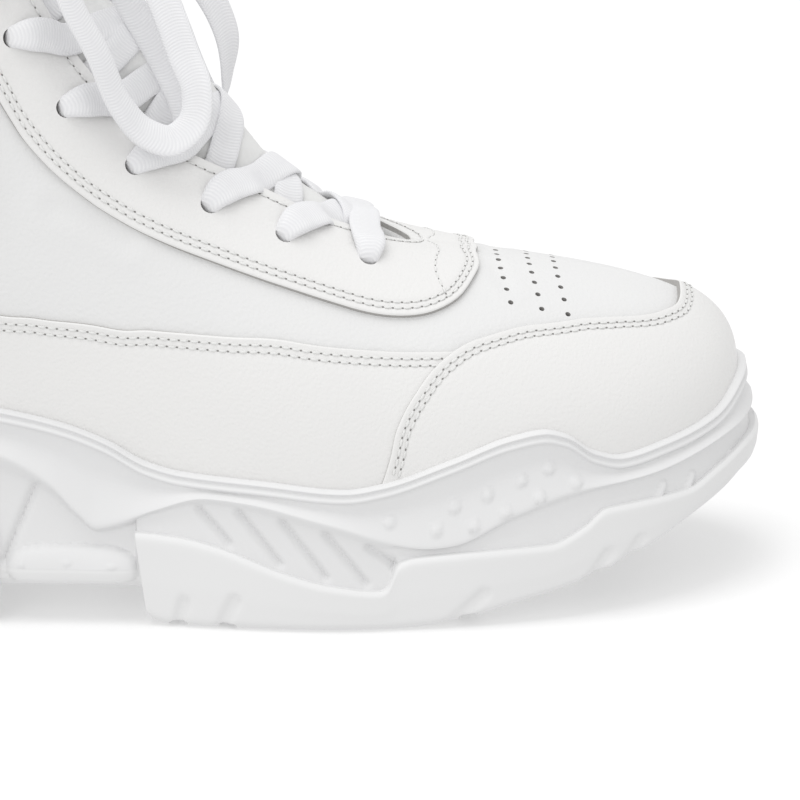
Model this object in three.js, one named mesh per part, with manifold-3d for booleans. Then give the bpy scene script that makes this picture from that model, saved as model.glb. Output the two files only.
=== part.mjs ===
// A high platform sneaker for a right foot, standing empty and laced.
// Millimetres: +X to the toe, -Y to the outer side, +Z up, origin under the middle of the sole.
import * as THREE from "three";
import { mergeVertices } from "three/addons/utils/BufferGeometryUtils.js";
import Module from "manifold-3d";

const wasm = await Module();
wasm.setup();

// Sole sizes
const SOLE_LENGTH = 300;
const BALL_WIDTH = 108;
const WAIST_WIDTH = 80;
const HEEL_WIDTH = 88;
const WAIST_SWING = 3;
const TOE_SWING = 9;
const PLATFORM_HEIGHT = 60;
const TOE_SPRING = 29;
const RIM_WALL = 7;
const BEAD_HEIGHT = 3.6;
const BEAD_CORNER = 1.6;
const BEAD_INSET = 3.1;
const RIDGE_INSET = 1.5;
const HOLLOW_DEPTH = 1.7;
const LEDGE = 2.4;
const ARCH_INSET = 3;
const POD_BULGE = 1.8;
const POD_LENGTH = 30;
const SOLE_CORNER = 2.2;
const LEDGE_CORNER = 0.9;
const SOLE_DRAFT = 0.4;
const TREAD_DEPTH = 3;
const TREAD_WIDTH = 4.5;
const GROOVE_WIDTH = 1.8;
const GROOVE_DEPTH = 1.4;

// Upper sizes
const UPPER_HEIGHT = 135;
const UPPER_WALL = 2;
const OVERLAY_WALL = 1.5;
const EYESTAY_WIDTH = 26.5;
const HOLE_COUNT = 8;
const HOLE_SPACING = 20;
const FIRST_HOLE = 17.5;
const HOLE_INSET = 12.8;
const HOLE_DIAMETER = 4.8;

// Inside and lacing sizes
const INSOLE_THICKNESS = 4;
const TONGUE_THICKNESS = 5;
const TONGUE_WING = 17;
const TONGUE_CROWN = 3;
const TONGUE_TOP = 15;
const TONGUE_FRONT = 5;
const CROWN_RUN = 35;
const LACE_WIDTH = 8;
const LACE_THICKNESS = 1.5;
const LACE_BULGE = 3.7;
const LACE_SINK = 0.6;
const CORD_DIAMETER = 3.6;
const KNOT_LENGTH = 15;

// Clearances
const SEAM = 0.3;
const SEAT = 0.5;
const OVERLAY_GAP = 1;
const TONGUE_GAP = 1.1;
const LACE_GAP = 1.5;

// Steps of the meshes
const SIDE_STEPS = 31;
const END_CROWDING = 0.3;
const MIDDLE_CROWDING = 0.25;
const OUTLINE_SAMPLES = 1600;
const SMALL_STEP = 2e-3;
const TIP = 1;

// Heights of the sole's lines from the middle of the heel (at 0) to the toe's tip (at 1), along the girth.
// Rim, welt, wave, ledge and footbed rise by shares of the platform, the underside by shares of the spring.
const RIM = [
  { at: 0.0, rise: 1.06 },
  { at: 0.12, rise: 1.04 },
  { at: 0.25, rise: 0.99 },
  { at: 0.34, rise: 0.94 },
  { at: 0.377, rise: 0.905 },
  { at: 0.4185, rise: 0.843 },
  { at: 0.447, rise: 0.778 },
  { at: 0.476, rise: 0.687 },
  { at: 0.5, rise: 0.652 },
  { at: 0.56, rise: 0.622 },
  { at: 0.6175, rise: 0.592 },
  { at: 0.644, rise: 0.613 },
  { at: 0.693, rise: 0.705 },
  { at: 0.735, rise: 0.79 },
  { at: 0.759, rise: 0.81 },
  { at: 0.776, rise: 0.785 },
  { at: 0.798, rise: 0.702 },
  { at: 0.82, rise: 0.667 },
  { at: 0.856, rise: 0.695 },
  { at: 0.91, rise: 0.758 },
  { at: 0.955, rise: 0.85 },
  { at: 1.0, rise: 0.885 },
];
const WELT = [
  { at: 0.0, rise: 1.017 },
  { at: 0.2, rise: 0.975 },
  { at: 0.34, rise: 0.917 },
  { at: 0.377, rise: 0.883 },
  { at: 0.4185, rise: 0.817 },
  { at: 0.4475, rise: 0.755 },
  { at: 0.476, rise: 0.672 },
  { at: 0.505, rise: 0.638 },
  { at: 0.56, rise: 0.61 },
  { at: 0.62, rise: 0.583 },
  { at: 0.68, rise: 0.6 },
  { at: 0.74, rise: 0.633 },
  { at: 0.83, rise: 0.655 },
  { at: 0.885, rise: 0.71 },
  { at: 0.935, rise: 0.79 },
  { at: 1.0, rise: 0.865 },
];
const WAVE = [
  { at: 0.0, rise: 0.8 },
  { at: 0.15, rise: 0.76 },
  { at: 0.28, rise: 0.79 },
  { at: 0.35, rise: 0.76 },
  { at: 0.378, rise: 0.71 },
  { at: 0.409, rise: 0.597 },
  { at: 0.428, rise: 0.475 },
  { at: 0.4415, rise: 0.41 },
  { at: 0.456, rise: 0.43 },
  { at: 0.482, rise: 0.495 },
  { at: 0.518, rise: 0.555 },
  { at: 0.549, rise: 0.538 },
  { at: 0.604, rise: 0.457 },
  { at: 0.678, rise: 0.343 },
  { at: 0.694, rise: 0.352 },
  { at: 0.739, rise: 0.47 },
  { at: 0.781, rise: 0.543 },
  { at: 0.841, rise: 0.578 },
  { at: 0.917, rise: 0.667 },
  { at: 1.0, rise: 0.725 },
];
const LEDGE_LINE = [
  { at: 0.0, rise: 0.5 },
  { at: 0.15, rise: 0.42 },
  { at: 0.25, rise: 0.33 },
  { at: 0.33, rise: 0.37 },
  { at: 0.3745, rise: 0.4 },
  { at: 0.3775, rise: 0.238 },
  { at: 0.466, rise: 0.238 },
  { at: 0.469, rise: 0.4 },
  { at: 0.496, rise: 0.388 },
  { at: 0.5225, rise: 0.358 },
  { at: 0.5775, rise: 0.242 },
  { at: 0.604, rise: 0.2 },
  { at: 0.642, rise: 0.172 },
  { at: 0.6475, rise: 0.192 },
  { at: 0.655, rise: 0.285 },
  { at: 0.667, rise: 0.308 },
  { at: 0.725, rise: 0.325 },
  { at: 0.762, rise: 0.33 },
  { at: 0.7875, rise: 0.393 },
  { at: 0.804, rise: 0.46 },
  { at: 0.87, rise: 0.48 },
  { at: 0.9, rise: 0.54 },
  { at: 0.94, rise: 0.6 },
  { at: 1.0, rise: 0.62 },
];
const FOOTBED = [
  { at: 0.0, rise: 0.767 },
  { at: 0.2, rise: 0.733 },
  { at: 0.38, rise: 0.63 },
  { at: 0.5, rise: 0.53 },
  { at: 0.6, rise: 0.475 },
  { at: 0.68, rise: 0.475 },
  { at: 0.78, rise: 0.525 },
  { at: 0.87, rise: 0.6 },
  { at: 1.0, rise: 0.7 },
];
const UNDERSIDE = [
  { at: 0.0, rise: 0.22 },
  { at: 0.05, rise: 0.12 },
  { at: 0.1, rise: 0.03 },
  { at: 0.14, rise: 0.0 },
  { at: 0.366, rise: 0.0 },
  { at: 0.3745, rise: 0.03 },
  { at: 0.378, rise: 0.3 },
  { at: 0.466, rise: 0.3 },
  { at: 0.4695, rise: 0.06 },
  { at: 0.482, rise: 0.01 },
  { at: 0.5, rise: 0.0 },
  { at: 0.64, rise: 0.0 },
  { at: 0.691, rise: 0.04 },
  { at: 0.7125, rise: 0.09 },
  { at: 0.7375, rise: 0.17 },
  { at: 0.771, rise: 0.26 },
  { at: 0.803, rise: 0.37 },
  { at: 0.848, rise: 0.57 },
  { at: 0.877, rise: 0.71 },
  { at: 0.908, rise: 0.84 },
  { at: 0.936, rise: 0.94 },
  { at: 1.0, rise: 1.0 },
];

// The upper's top line and the pull of its rise lines, from the heel (at 0) to the throat's front (at 1).
// Lengths along X (x, out, bowX) are shares of half the sole's length, those across (half, bowY) of half
// the ball's width, those upward (top, climb, bowZ) of the upper's height; top counts from the platform.
const TOP_LINE = [
  { at: 0.0, x: -0.88, half: 0.0, top: 0.941 },
  { at: 0.08, x: -0.84, half: 0.315, top: 0.944 },
  { at: 0.18, x: -0.727, half: 0.556, top: 0.956 },
  { at: 0.28, x: -0.547, half: 0.62, top: 0.978 },
  { at: 0.35, x: -0.387, half: 0.519, top: 1.0 },
  { at: 0.38, x: -0.32, half: 0.426, top: 1.0 },
  { at: 0.395, x: -0.29, half: 0.37, top: 0.963 },
  { at: 0.415, x: -0.26, half: 0.333, top: 0.844 },
  { at: 0.44, x: -0.22, half: 0.309, top: 0.73 },
  { at: 0.47, x: -0.167, half: 0.283, top: 0.615 },
  { at: 0.51, x: -0.093, half: 0.259, top: 0.504 },
  { at: 0.56, x: 0.0, half: 0.226, top: 0.411 },
  { at: 0.62, x: 0.113, half: 0.204, top: 0.341 },
  { at: 0.7, x: 0.233, half: 0.185, top: 0.267 },
  { at: 0.78, x: 0.333, half: 0.148, top: 0.215 },
  { at: 0.86, x: 0.387, half: 0.083, top: 0.19 },
  { at: 0.93, x: 0.4, half: 0.037, top: 0.184 },
  { at: 1.0, x: 0.403, half: 0.0, top: 0.181 },
];
const RISE_PULL = [
  { at: 0.0, climb: 0.311, out: 0.013, bowX: 0.067, bowY: 0.0, bowZ: -0.348 },
  { at: 0.08, climb: 0.319, out: 0.013, bowX: 0.06, bowY: -0.056, bowZ: -0.348 },
  { at: 0.18, climb: 0.333, out: 0.013, bowX: 0.04, bowY: -0.111, bowZ: -0.348 },
  { at: 0.28, climb: 0.356, out: 0.013, bowX: 0.02, bowY: -0.111, bowZ: -0.356 },
  { at: 0.35, climb: 0.356, out: 0.01, bowX: 0.007, bowY: -0.019, bowZ: -0.37 },
  { at: 0.38, climb: 0.341, out: 0.007, bowX: 0.0, bowY: 0.056, bowZ: -0.341 },
  { at: 0.395, climb: 0.333, out: 0.007, bowX: -0.007, bowY: 0.074, bowZ: -0.311 },
  { at: 0.415, climb: 0.319, out: 0.007, bowX: -0.013, bowY: 0.111, bowZ: -0.252 },
  { at: 0.44, climb: 0.296, out: 0.003, bowX: -0.007, bowY: 0.148, bowZ: -0.2 },
  { at: 0.47, climb: 0.274, out: 0.003, bowX: 0.0, bowY: 0.185, bowZ: -0.163 },
  { at: 0.51, climb: 0.252, out: 0.0, bowX: 0.007, bowY: 0.222, bowZ: -0.133 },
  { at: 0.56, climb: 0.23, out: 0.0, bowX: 0.013, bowY: 0.241, bowZ: -0.104 },
  { at: 0.62, climb: 0.215, out: 0.0, bowX: 0.027, bowY: 0.259, bowZ: -0.089 },
  { at: 0.7, climb: 0.2, out: 0.0, bowX: 0.06, bowY: 0.259, bowZ: -0.074 },
  { at: 0.78, climb: 0.185, out: 0.0, bowX: 0.12, bowY: 0.241, bowZ: -0.052 },
  { at: 0.86, climb: 0.178, out: 0.0, bowX: 0.213, bowY: 0.204, bowZ: -0.037 },
  { at: 0.93, climb: 0.17, out: 0.0, bowX: 0.28, bowY: 0.111, bowZ: -0.037 },
  { at: 1.0, climb: 0.17, out: 0.0, bowX: 0.317, bowY: 0.0, bowZ: -0.041 },
];

// Upper edges of the overlays, as shares of the rise from welt to top line.
const TOE_CAP_EDGE = [
  { at: 0.65, rise: 0.075 },
  { at: 0.659, rise: 0.162 },
  { at: 0.683, rise: 0.274 },
  { at: 0.713, rise: 0.367 },
  { at: 0.754, rise: 0.444 },
  { at: 0.812, rise: 0.488 },
  { at: 0.848, rise: 0.486 },
  { at: 0.882, rise: 0.456 },
  { at: 0.924, rise: 0.394 },
  { at: 0.955, rise: 0.37 },
  { at: 1.0, rise: 0.38 },
];
const SIDE_OVERLAY_EDGE = [
  { at: 0.0, rise: 0.165 },
  { at: 0.379, rise: 0.174 },
  { at: 0.407, rise: 0.193 },
  { at: 0.447, rise: 0.243 },
  { at: 0.493, rise: 0.32 },
  { at: 0.553, rise: 0.371 },
  { at: 0.603, rise: 0.402 },
  { at: 0.723, rise: 0.402 },
];

// Eyestay's outer edge: distance from the throat's front and width there, both in eyestay widths.
const EYESTAY_EDGE = [
  { at: 0.0, width: 0.62 },
  { at: 0.08, width: 0.68 },
  { at: 0.15, width: 0.86 },
  { at: 0.23, width: 1.03 },
  { at: 0.31, width: 1.11 },
  { at: 0.41, width: 1.13 },
  { at: 0.53, width: 1.12 },
  { at: 0.68, width: 1.09 },
  { at: 0.94, width: 1.04 },
  { at: 1.3, width: 1.01 },
  { at: 2.4, width: 1.0 },
  { at: 3.3, width: 0.99 },
  { at: 3.8, width: 0.95 },
  { at: 4.3, width: 0.89 },
  { at: 6.3, width: 0.86 },
];

// Slanted grooves in the sole's side: girth shares of the upper and the lower end.
const GROOVES = [
  { head: 0.338, foot: 0.31 },
  { head: 0.37, foot: 0.34 },
  { head: 0.401, foot: 0.378 },
  { head: 0.513, foot: 0.534 },
  { head: 0.541, foot: 0.57 },
  { head: 0.572, foot: 0.603 },
  { head: 0.603, foot: 0.632 },
  { head: 0.634, foot: 0.648 },
];
const GROOVE_FACE = LEDGE + 0.6;
const GROOVE_HEAD = 3;
const GROOVE_FOOT = 1.5;

// Cross grooves of the tread: place as a share of half the length, reach as a share of half the ball's width.
const TREAD = [
  { at: -0.8, reach: 1.2 },
  { at: -0.62, reach: 1.2 },
  { at: -0.46, reach: 1.2 },
  { at: 0.01, reach: 1.2 },
  { at: 0.09, reach: 1.2 },
  { at: 0.19, reach: 0.62 },
  { at: 0.28, reach: 0.66 },
  { at: 0.37, reach: 0.66 },
  { at: 0.485, reach: 1.2 },
  { at: 0.6, reach: 0.56 },
  { at: 0.705, reach: 1.2 },
  { at: 0.765, reach: 1.2 },
];
const TREAD_LEAN = 0.35;

// Smooth steps between two levels.
function ease(share) {
  const t = Math.min(1, Math.max(0, share));
  return t * t * (3 - 2 * t);
}

function mix(a, b, share) {
  return a + (b - a) * share;
}

// A table's column at a girth share, through its rows without overshoot of more than their slopes.
function read(table, column, at) {
  const last = table.length - 2;
  let k = 0;
  while (k < last && at > table[k + 1].at) k += 1;
  const slope = (i) => {
    const j = Math.min(Math.max(i, 0), last);
    return (table[j + 1][column] - table[j][column]) / (table[j + 1].at - table[j].at);
  };
  const knot = (i) => {
    const before = slope(i - 1);
    const after = slope(i);
    return before * after <= 0 ? 0 : (2 * before * after) / (before + after);
  };
  const span = table[k + 1].at - table[k].at;
  const t = Math.min(1, Math.max(0, (at - table[k].at) / span));
  const near = 1 - t;
  return (
    table[k][column] * near * near * (1 + 2 * t) +
    table[k + 1][column] * t * t * (3 - 2 * t) +
    span * t * near * (near * knot(k) - t * knot(k + 1))
  );
}

// Half the sole's width at a share of its length, heel to toe.
function halfWidth(share) {
  const WAIST_START = 0.133;
  const WAIST_END = 0.367;
  const BALL_START = 0.383;
  const BALL_END = 0.667;
  const HEEL_CLOSE = 0.19;
  const TOE_CLOSE = 0.68;
  const HEEL_POWER = 2.3;
  const TOE_POWER = 2.35;
  const waist = ease((share - WAIST_START) / (WAIST_END - WAIST_START));
  const ball = ease((share - BALL_START) / (BALL_END - BALL_START));
  const heelHalf = HEEL_WIDTH / 2;
  const waistHalf = WAIST_WIDTH / 2;
  const ballHalf = BALL_WIDTH / 2;
  const body = heelHalf + (waistHalf - heelHalf) * waist + (ballHalf - waistHalf) * ball;
  const back = Math.max(0, (HEEL_CLOSE - share) / HEEL_CLOSE);
  const front = Math.max(0, (share - TOE_CLOSE) / (1 - TOE_CLOSE));
  const heelArc = Math.max(0, 1 - back ** HEEL_POWER) ** (1 / HEEL_POWER);
  const toeArc = Math.max(0, 1 - front ** TOE_POWER) ** (1 / TOE_POWER);
  return body * heelArc * toeArc;
}

// How far the shoe's middle swings to the inner side: a little outward at the waist, inward at the toe.
function swing(x) {
  const WAIST_AT = -0.13;
  const WAIST_REACH = 0.6;
  const TOE_FROM = 0.13;
  const share = x / (SOLE_LENGTH / 2);
  const waist = Math.cos((Math.min(1, Math.abs(share - WAIST_AT) / WAIST_REACH) * Math.PI) / 2) ** 2;
  const toe = Math.max(0, (share - TOE_FROM) / (1 - TOE_FROM)) ** 2;
  return TOE_SWING * toe - WAIST_SWING * waist;
}

// The straightened outline sampled from heel to toe, with the share of the girth reached at each sample.
const OUTLINE = (() => {
  const rows = [];
  for (let i = 0; i <= OUTLINE_SAMPLES; i += 1) {
    const share = (1 - Math.cos((Math.PI * i) / OUTLINE_SAMPLES)) / 2;
    const ends = i === 0 || i === OUTLINE_SAMPLES;
    rows.push({ x: SOLE_LENGTH * (share - 0.5), half: ends ? 0 : halfWidth(share), run: 0 });
  }
  for (let i = 1; i <= OUTLINE_SAMPLES; i += 1) {
    const before = rows[i - 1];
    rows[i].run = before.run + Math.hypot(rows[i].x - before.x, rows[i].half - before.half);
  }
  const girth = rows[OUTLINE_SAMPLES].run;
  rows.forEach((row) => {
    row.run /= girth;
  });
  return rows;
})();

// Half the difference between the widest points of the two sides, which centres the sole on Y.
const SIDEWAYS = (() => {
  const inner = Math.max(...OUTLINE.map((row) => swing(row.x) + row.half));
  const outer = Math.max(...OUTLINE.map((row) => row.half - swing(row.x)));
  return (inner - outer) / 2;
})();

// Round the shoe, turn runs from the heel (0) over the outer side to the toe (1) and back inside (2).
function girthShare(turn) {
  const round = ((turn % 2) + 2) % 2;
  return round <= TIP ? round : 2 - round;
}

function sideOf(turn) {
  const round = ((turn % 2) + 2) % 2;
  return round <= TIP ? -1 : 1;
}

function straightEdge(turn) {
  const at = girthShare(turn);
  let low = 0;
  let high = OUTLINE_SAMPLES;
  while (high - low > 1) {
    const middle = (low + high) >> 1;
    if (OUTLINE[middle].run <= at) low = middle;
    else high = middle;
  }
  const a = OUTLINE[low];
  const b = OUTLINE[high];
  const t = (at - a.run) / (b.run - a.run);
  return { x: mix(a.x, b.x, t), y: sideOf(turn) * mix(a.half, b.half, t) };
}

// The outline's outward direction, across the straightened shoe.
function outward(turn) {
  const before = straightEdge(turn - SMALL_STEP);
  const after = straightEdge(turn + SMALL_STEP);
  const dx = after.x - before.x;
  const dy = after.y - before.y;
  const length = Math.hypot(dx, dy);
  return { x: dy / length, y: -dx / length };
}

function bent(x, y, z) {
  return new THREE.Vector3(x, y + swing(x) - SIDEWAYS, z);
}

// A point of a wall that stands inside the sole's outline.
function wallPoint(turn, inset, z) {
  const edge = straightEdge(turn);
  const out = outward(turn);
  return bent(edge.x - out.x * inset, edge.y - out.y * inset, z);
}

const platform = (table) => (turn) => PLATFORM_HEIGHT * read(table, "rise", girthShare(turn));
const rimHeight = platform(RIM);
const weltHeight = platform(WELT);
const waveHeight = platform(WAVE);
const ledgeHeight = platform(LEDGE_LINE);
const footbedHeight = platform(FOOTBED);
const undersideHeight = (turn) => TOE_SPRING * read(UNDERSIDE, "rise", girthShare(turn));

// The upper's outer surface: a cubic rise line stands at each turn, from the welt (0) to the top line (1).
function risePoint(turn, rise) {
  const at = girthShare(turn);
  const side = sideOf(turn);
  const inset = RIM_WALL + SEAT;
  const edge = straightEdge(turn);
  const out = outward(turn);
  const long = SOLE_LENGTH / 2;
  const wide = BALL_WIDTH / 2;
  const welt = new THREE.Vector3(edge.x - out.x * inset, edge.y - out.y * inset, weltHeight(turn));
  const bulge = long * read(RISE_PULL, "out", at);
  const lower = new THREE.Vector3(
    welt.x + out.x * bulge,
    welt.y + out.y * bulge,
    welt.z + UPPER_HEIGHT * read(RISE_PULL, "climb", at),
  );
  const top = new THREE.Vector3(
    long * read(TOP_LINE, "x", at),
    side * wide * read(TOP_LINE, "half", at),
    PLATFORM_HEIGHT + UPPER_HEIGHT * read(TOP_LINE, "top", at),
  );
  const higher = new THREE.Vector3(
    top.x + long * read(RISE_PULL, "bowX", at),
    top.y + side * wide * read(RISE_PULL, "bowY", at),
    top.z + UPPER_HEIGHT * read(RISE_PULL, "bowZ", at),
  );
  const low = 1 - rise;
  const point = new THREE.Vector3()
    .addScaledVector(welt, low * low * low)
    .addScaledVector(lower, 3 * low * low * rise)
    .addScaledVector(higher, 3 * low * rise * rise)
    .addScaledVector(top, rise * rise * rise);
  return bent(point.x, point.y, point.z);
}

function acrossAndUp(turn, rise) {
  const low = Math.max(0, rise - SMALL_STEP);
  const high = Math.min(1, rise + SMALL_STEP);
  const along = risePoint(turn + SMALL_STEP, rise).sub(risePoint(turn - SMALL_STEP, rise));
  const up = risePoint(turn, high).sub(risePoint(turn, low));
  return { along: along.divideScalar(2 * SMALL_STEP), up: up.divideScalar(high - low) };
}

function faceDirection(turn, rise) {
  const { along, up } = acrossAndUp(turn, rise);
  return along.cross(up).normalize();
}

// The upper's surface moved outward by a lift, or inward where the lift is negative.
function liftedPoint(turn, rise, lift) {
  return risePoint(turn, rise).addScaledVector(faceDirection(turn, rise), lift);
}

// The place on the upper's surface closest to a point, found from a first guess.
function settle(point, turn, rise) {
  const ROUNDS = 6;
  let place = { turn, rise };
  for (let i = 0; i < ROUNDS; i += 1) {
    const { along, up } = acrossAndUp(place.turn, place.rise);
    const miss = point.clone().sub(risePoint(place.turn, place.rise));
    const aa = along.dot(along);
    const uu = up.dot(up);
    const au = along.dot(up);
    const det = Math.max(aa * uu - au * au, 1e-9 * aa * uu);
    const a = miss.dot(along);
    const u = miss.dot(up);
    const nextTurn = place.turn + (a * uu - u * au) / det;
    const nextRise = place.rise + (u * aa - a * au) / det;
    place = { turn: nextTurn, rise: Math.min(1, Math.max(0, nextRise)) };
  }
  return place;
}

// The throat's edge as a path from its front over one side to the collar's front corner.
const CORNER = 0.386;
const edgePath = (side) => {
  const STEPS = 240;
  const rows = [];
  for (let i = 0; i <= STEPS; i += 1) {
    const at = mix(TIP, CORNER, i / STEPS);
    const turn = side < 0 ? at : 2 - at;
    const point = risePoint(turn, 1);
    const run = i === 0 ? 0 : rows[i - 1].run + point.distanceTo(rows[i - 1].point);
    rows.push({ turn, point, run });
  }
  return rows;
};
const EDGE_PATHS = { [-1]: edgePath(-1), 1: edgePath(1) };

function edgeLength() {
  const path = EDGE_PATHS[1];
  return path[path.length - 1].run;
}

// The turn at which the throat's edge has run a distance from its front.
function edgeTurn(side, distance) {
  const path = EDGE_PATHS[side];
  let k = 1;
  while (k < path.length - 1 && path[k].run < distance) k += 1;
  const a = path[k - 1];
  const b = path[k];
  return mix(a.turn, b.turn, (distance - a.run) / (b.run - a.run));
}

// A place on the upper beside the throat's edge, reached by walking straight away from the edge.
function besideEdge(edge, distance) {
  const STEPS = 4;
  const before = risePoint(edge - SMALL_STEP, 1);
  const forward = risePoint(edge + SMALL_STEP, 1).sub(before).normalize();
  let place = { turn: edge, rise: 1 };
  for (let i = 0; i < STEPS; i += 1) {
    const away = forward.clone().cross(faceDirection(place.turn, place.rise)).normalize();
    const next = risePoint(place.turn, place.rise).addScaledVector(away, distance / STEPS);
    place = settle(next, place.turn, place.rise);
  }
  return place;
}

// Closed meshes from vertices and triangles, turned so that their faces point out.
function closedGeometry(points, triangles) {
  let volume = 0;
  triangles.forEach(([a, b, c]) => {
    volume += points[a].dot(points[b].clone().cross(points[c]));
  });
  const facing = volume < 0 ? triangles.map(([a, b, c]) => [a, c, b]) : triangles;
  const geometry = new THREE.BufferGeometry();
  const places = new Float32Array(points.flatMap((p) => [p.x, p.y, p.z]));
  geometry.setAttribute("position", new THREE.BufferAttribute(places, 3));
  geometry.setIndex(facing.flat());
  return geometry;
}

// Triangles of a grid of points; wrap joins its last column to the first.
function gridTriangles(rows, columns, wrap, first) {
  const triangles = [];
  const last = wrap ? columns : columns - 1;
  for (let r = 0; r < rows - 1; r += 1) {
    for (let c = 0; c < last; c += 1) {
      const a = first + r * columns + c;
      const b = first + r * columns + ((c + 1) % columns);
      triangles.push([a, b, b + columns], [a, b + columns, a + columns]);
    }
  }
  return triangles;
}

// A stack of rings that run round the shoe. Its two ends are closed by rungs between the sides,
// or, where it is a sleeve, the last ring joins the first.
function ringStack(rings, sleeve) {
  const count = rings[0].length;
  const points = rings.flat();
  if (sleeve) {
    const triangles = gridTriangles(rings.length, count, true, 0);
    for (let c = 0; c < count; c += 1) {
      const a = (rings.length - 1) * count + c;
      const b = (rings.length - 1) * count + ((c + 1) % count);
      const d = (c + 1) % count;
      triangles.push([a, b, d], [a, d, c]);
    }
    return closedGeometry(points, triangles);
  }
  const triangles = gridTriangles(rings.length, count, true, 0);
  const top = (rings.length - 1) * count;
  const half = count / 2;
  for (let c = 0; c < half; c += 1) {
    const near = [c, c + 1];
    const far = [(count - c) % count, count - c - 1];
    if (c > 0) {
      triangles.push([near[0], far[0], near[1]]);
      triangles.push([top + near[0], top + near[1], top + far[0]]);
    }
    if (c < half - 1) {
      triangles.push([near[1], far[0], far[1]]);
      triangles.push([top + near[1], top + far[1], top + far[0]]);
    }
  }
  return closedGeometry(points, triangles);
}

// A plate with two faces over a grid of places. Its points come from a column, a row share and a face share.
function plate(columns, rows, pointAt) {
  const points = [];
  [0, 1].forEach((face) => {
    for (let r = 0; r < rows; r += 1) {
      columns.forEach((column) => points.push(pointAt(column, r / (rows - 1), face)));
    }
  });
  const wide = columns.length;
  const other = rows * wide;
  const triangles = gridTriangles(rows, wide, false, 0).map(([a, b, c]) => [a, c, b]);
  triangles.push(...gridTriangles(rows, wide, false, other));
  const border = [];
  for (let c = 0; c < wide - 1; c += 1) border.push([c, c + 1]);
  for (let r = 0; r < rows - 1; r += 1) border.push([r * wide + wide - 1, (r + 1) * wide + wide - 1]);
  for (let c = wide - 1; c > 0; c -= 1) border.push([(rows - 1) * wide + c, (rows - 1) * wide + c - 1]);
  for (let r = rows - 1; r > 0; r -= 1) border.push([r * wide, (r - 1) * wide]);
  border.forEach(([a, b]) => {
    triangles.push([a, b, b + other], [a, b + other, a + other]);
  });
  return closedGeometry(points, triangles);
}

// Solids that can be joined and cut.
function solidOf(geometry) {
  const bare = geometry.index ? geometry.toNonIndexed() : geometry.clone();
  bare.deleteAttribute("normal");
  bare.deleteAttribute("uv");
  const merged = mergeVertices(bare, 1e-4);
  return new wasm.Manifold(
    new wasm.Mesh({
      numProp: 3,
      vertProperties: merged.attributes.position.array,
      triVerts: new Uint32Array(merged.index.array),
    }),
  );
}

function geometryOf(solid) {
  const mesh = solid.getMesh();
  const places = new Float32Array(mesh.vertProperties);
  const geometry = new THREE.BufferGeometry();
  geometry.setAttribute("position", new THREE.BufferAttribute(places, 3));
  geometry.setIndex(new THREE.BufferAttribute(new Uint32Array(mesh.triVerts), 1));
  return geometry;
}

function cut(geometry, cutters) {
  return geometryOf(cutters.reduce((solid, cutter) => solid.subtract(solidOf(cutter)), solidOf(geometry)));
}

function joined(geometries) {
  return geometryOf(geometries.map(solidOf).reduce((solid, next) => solid.add(next)));
}

// Turns for a ring round the shoe, closer together at heel and toe, with extra ones where a line steps.
function crowdedShares(steps) {
  const shares = [];
  for (let i = 0; i <= steps; i += 1) {
    const once = 2 * Math.PI * (i / steps);
    const ends = (END_CROWDING * Math.sin(once)) / (2 * Math.PI);
    const middle = (MIDDLE_CROWDING * Math.sin(2 * once)) / (4 * Math.PI);
    shares.push(i / steps - ends - middle);
  }
  return shares;
}

function roundTurns(shares) {
  const back = shares
    .slice(1, -1)
    .reverse()
    .map((share) => 2 - share);
  return [...shares, ...back];
}

const UPPER_SHARES = crowdedShares(SIDE_STEPS);
const STEP_SHARES = [
  0.3745, 0.378, 0.428, 0.4415, 0.455, 0.466, 0.4695, 0.482, 0.6475, 0.655, 0.678, 0.759, 0.798,
];
const NEAREST_SHARES = 0.0045;
const SOLE_SHARES = [
  ...UPPER_SHARES.filter((share) => STEP_SHARES.every((step) => Math.abs(step - share) > NEAREST_SHARES)),
  ...STEP_SHARES,
].sort((a, b) => a - b);
const UPPER_TURNS = roundTurns(UPPER_SHARES);
const SOLE_TURNS = roundTurns(SOLE_SHARES);

// Outsole: a slab that carries a heel block, a thin arch band with a pod, and a forefoot block.
const ARCH_FROM = 0.376;
const ARCH_TO = 0.4675;

function inArch(turn) {
  const at = girthShare(turn);
  return at > ARCH_FROM && at < ARCH_TO;
}

// The pod's swell along the arch, round at both ends.
function podSwell(turn) {
  const POD_AT = -0.17;
  const reach = (straightEdge(turn).x - (POD_AT * SOLE_LENGTH) / 2) / (POD_LENGTH / 2);
  return POD_BULGE * Math.sqrt(Math.max(0, 1 - reach ** 4));
}

function outsoleInset(turn) {
  return inArch(turn) ? ARCH_INSET - podSwell(turn) : 0;
}

function outsole() {
  const DRAFT_AT = 0.55;
  const CORNER_RISE = 0.8;
  const CORNER_REACH = 1.6;
  const profile = [
    { inset: LEDGE_CORNER, z: ledgeHeight },
    { inset: 0, z: (t) => ledgeHeight(t) - LEDGE_CORNER },
    { inset: SOLE_DRAFT, z: (t) => mix(ledgeHeight(t), undersideHeight(t), DRAFT_AT) },
    { inset: SOLE_CORNER / 2, z: (t) => undersideHeight(t) + SOLE_CORNER * CORNER_RISE },
    { inset: SOLE_CORNER * CORNER_REACH, z: undersideHeight },
  ];
  const rings = profile.map((row) =>
    SOLE_TURNS.map((t) => wallPoint(t, outsoleInset(t) + row.inset, row.z(t))),
  );
  return cut(ringStack(rings, false), TREAD.map(treadCutter));
}

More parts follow.
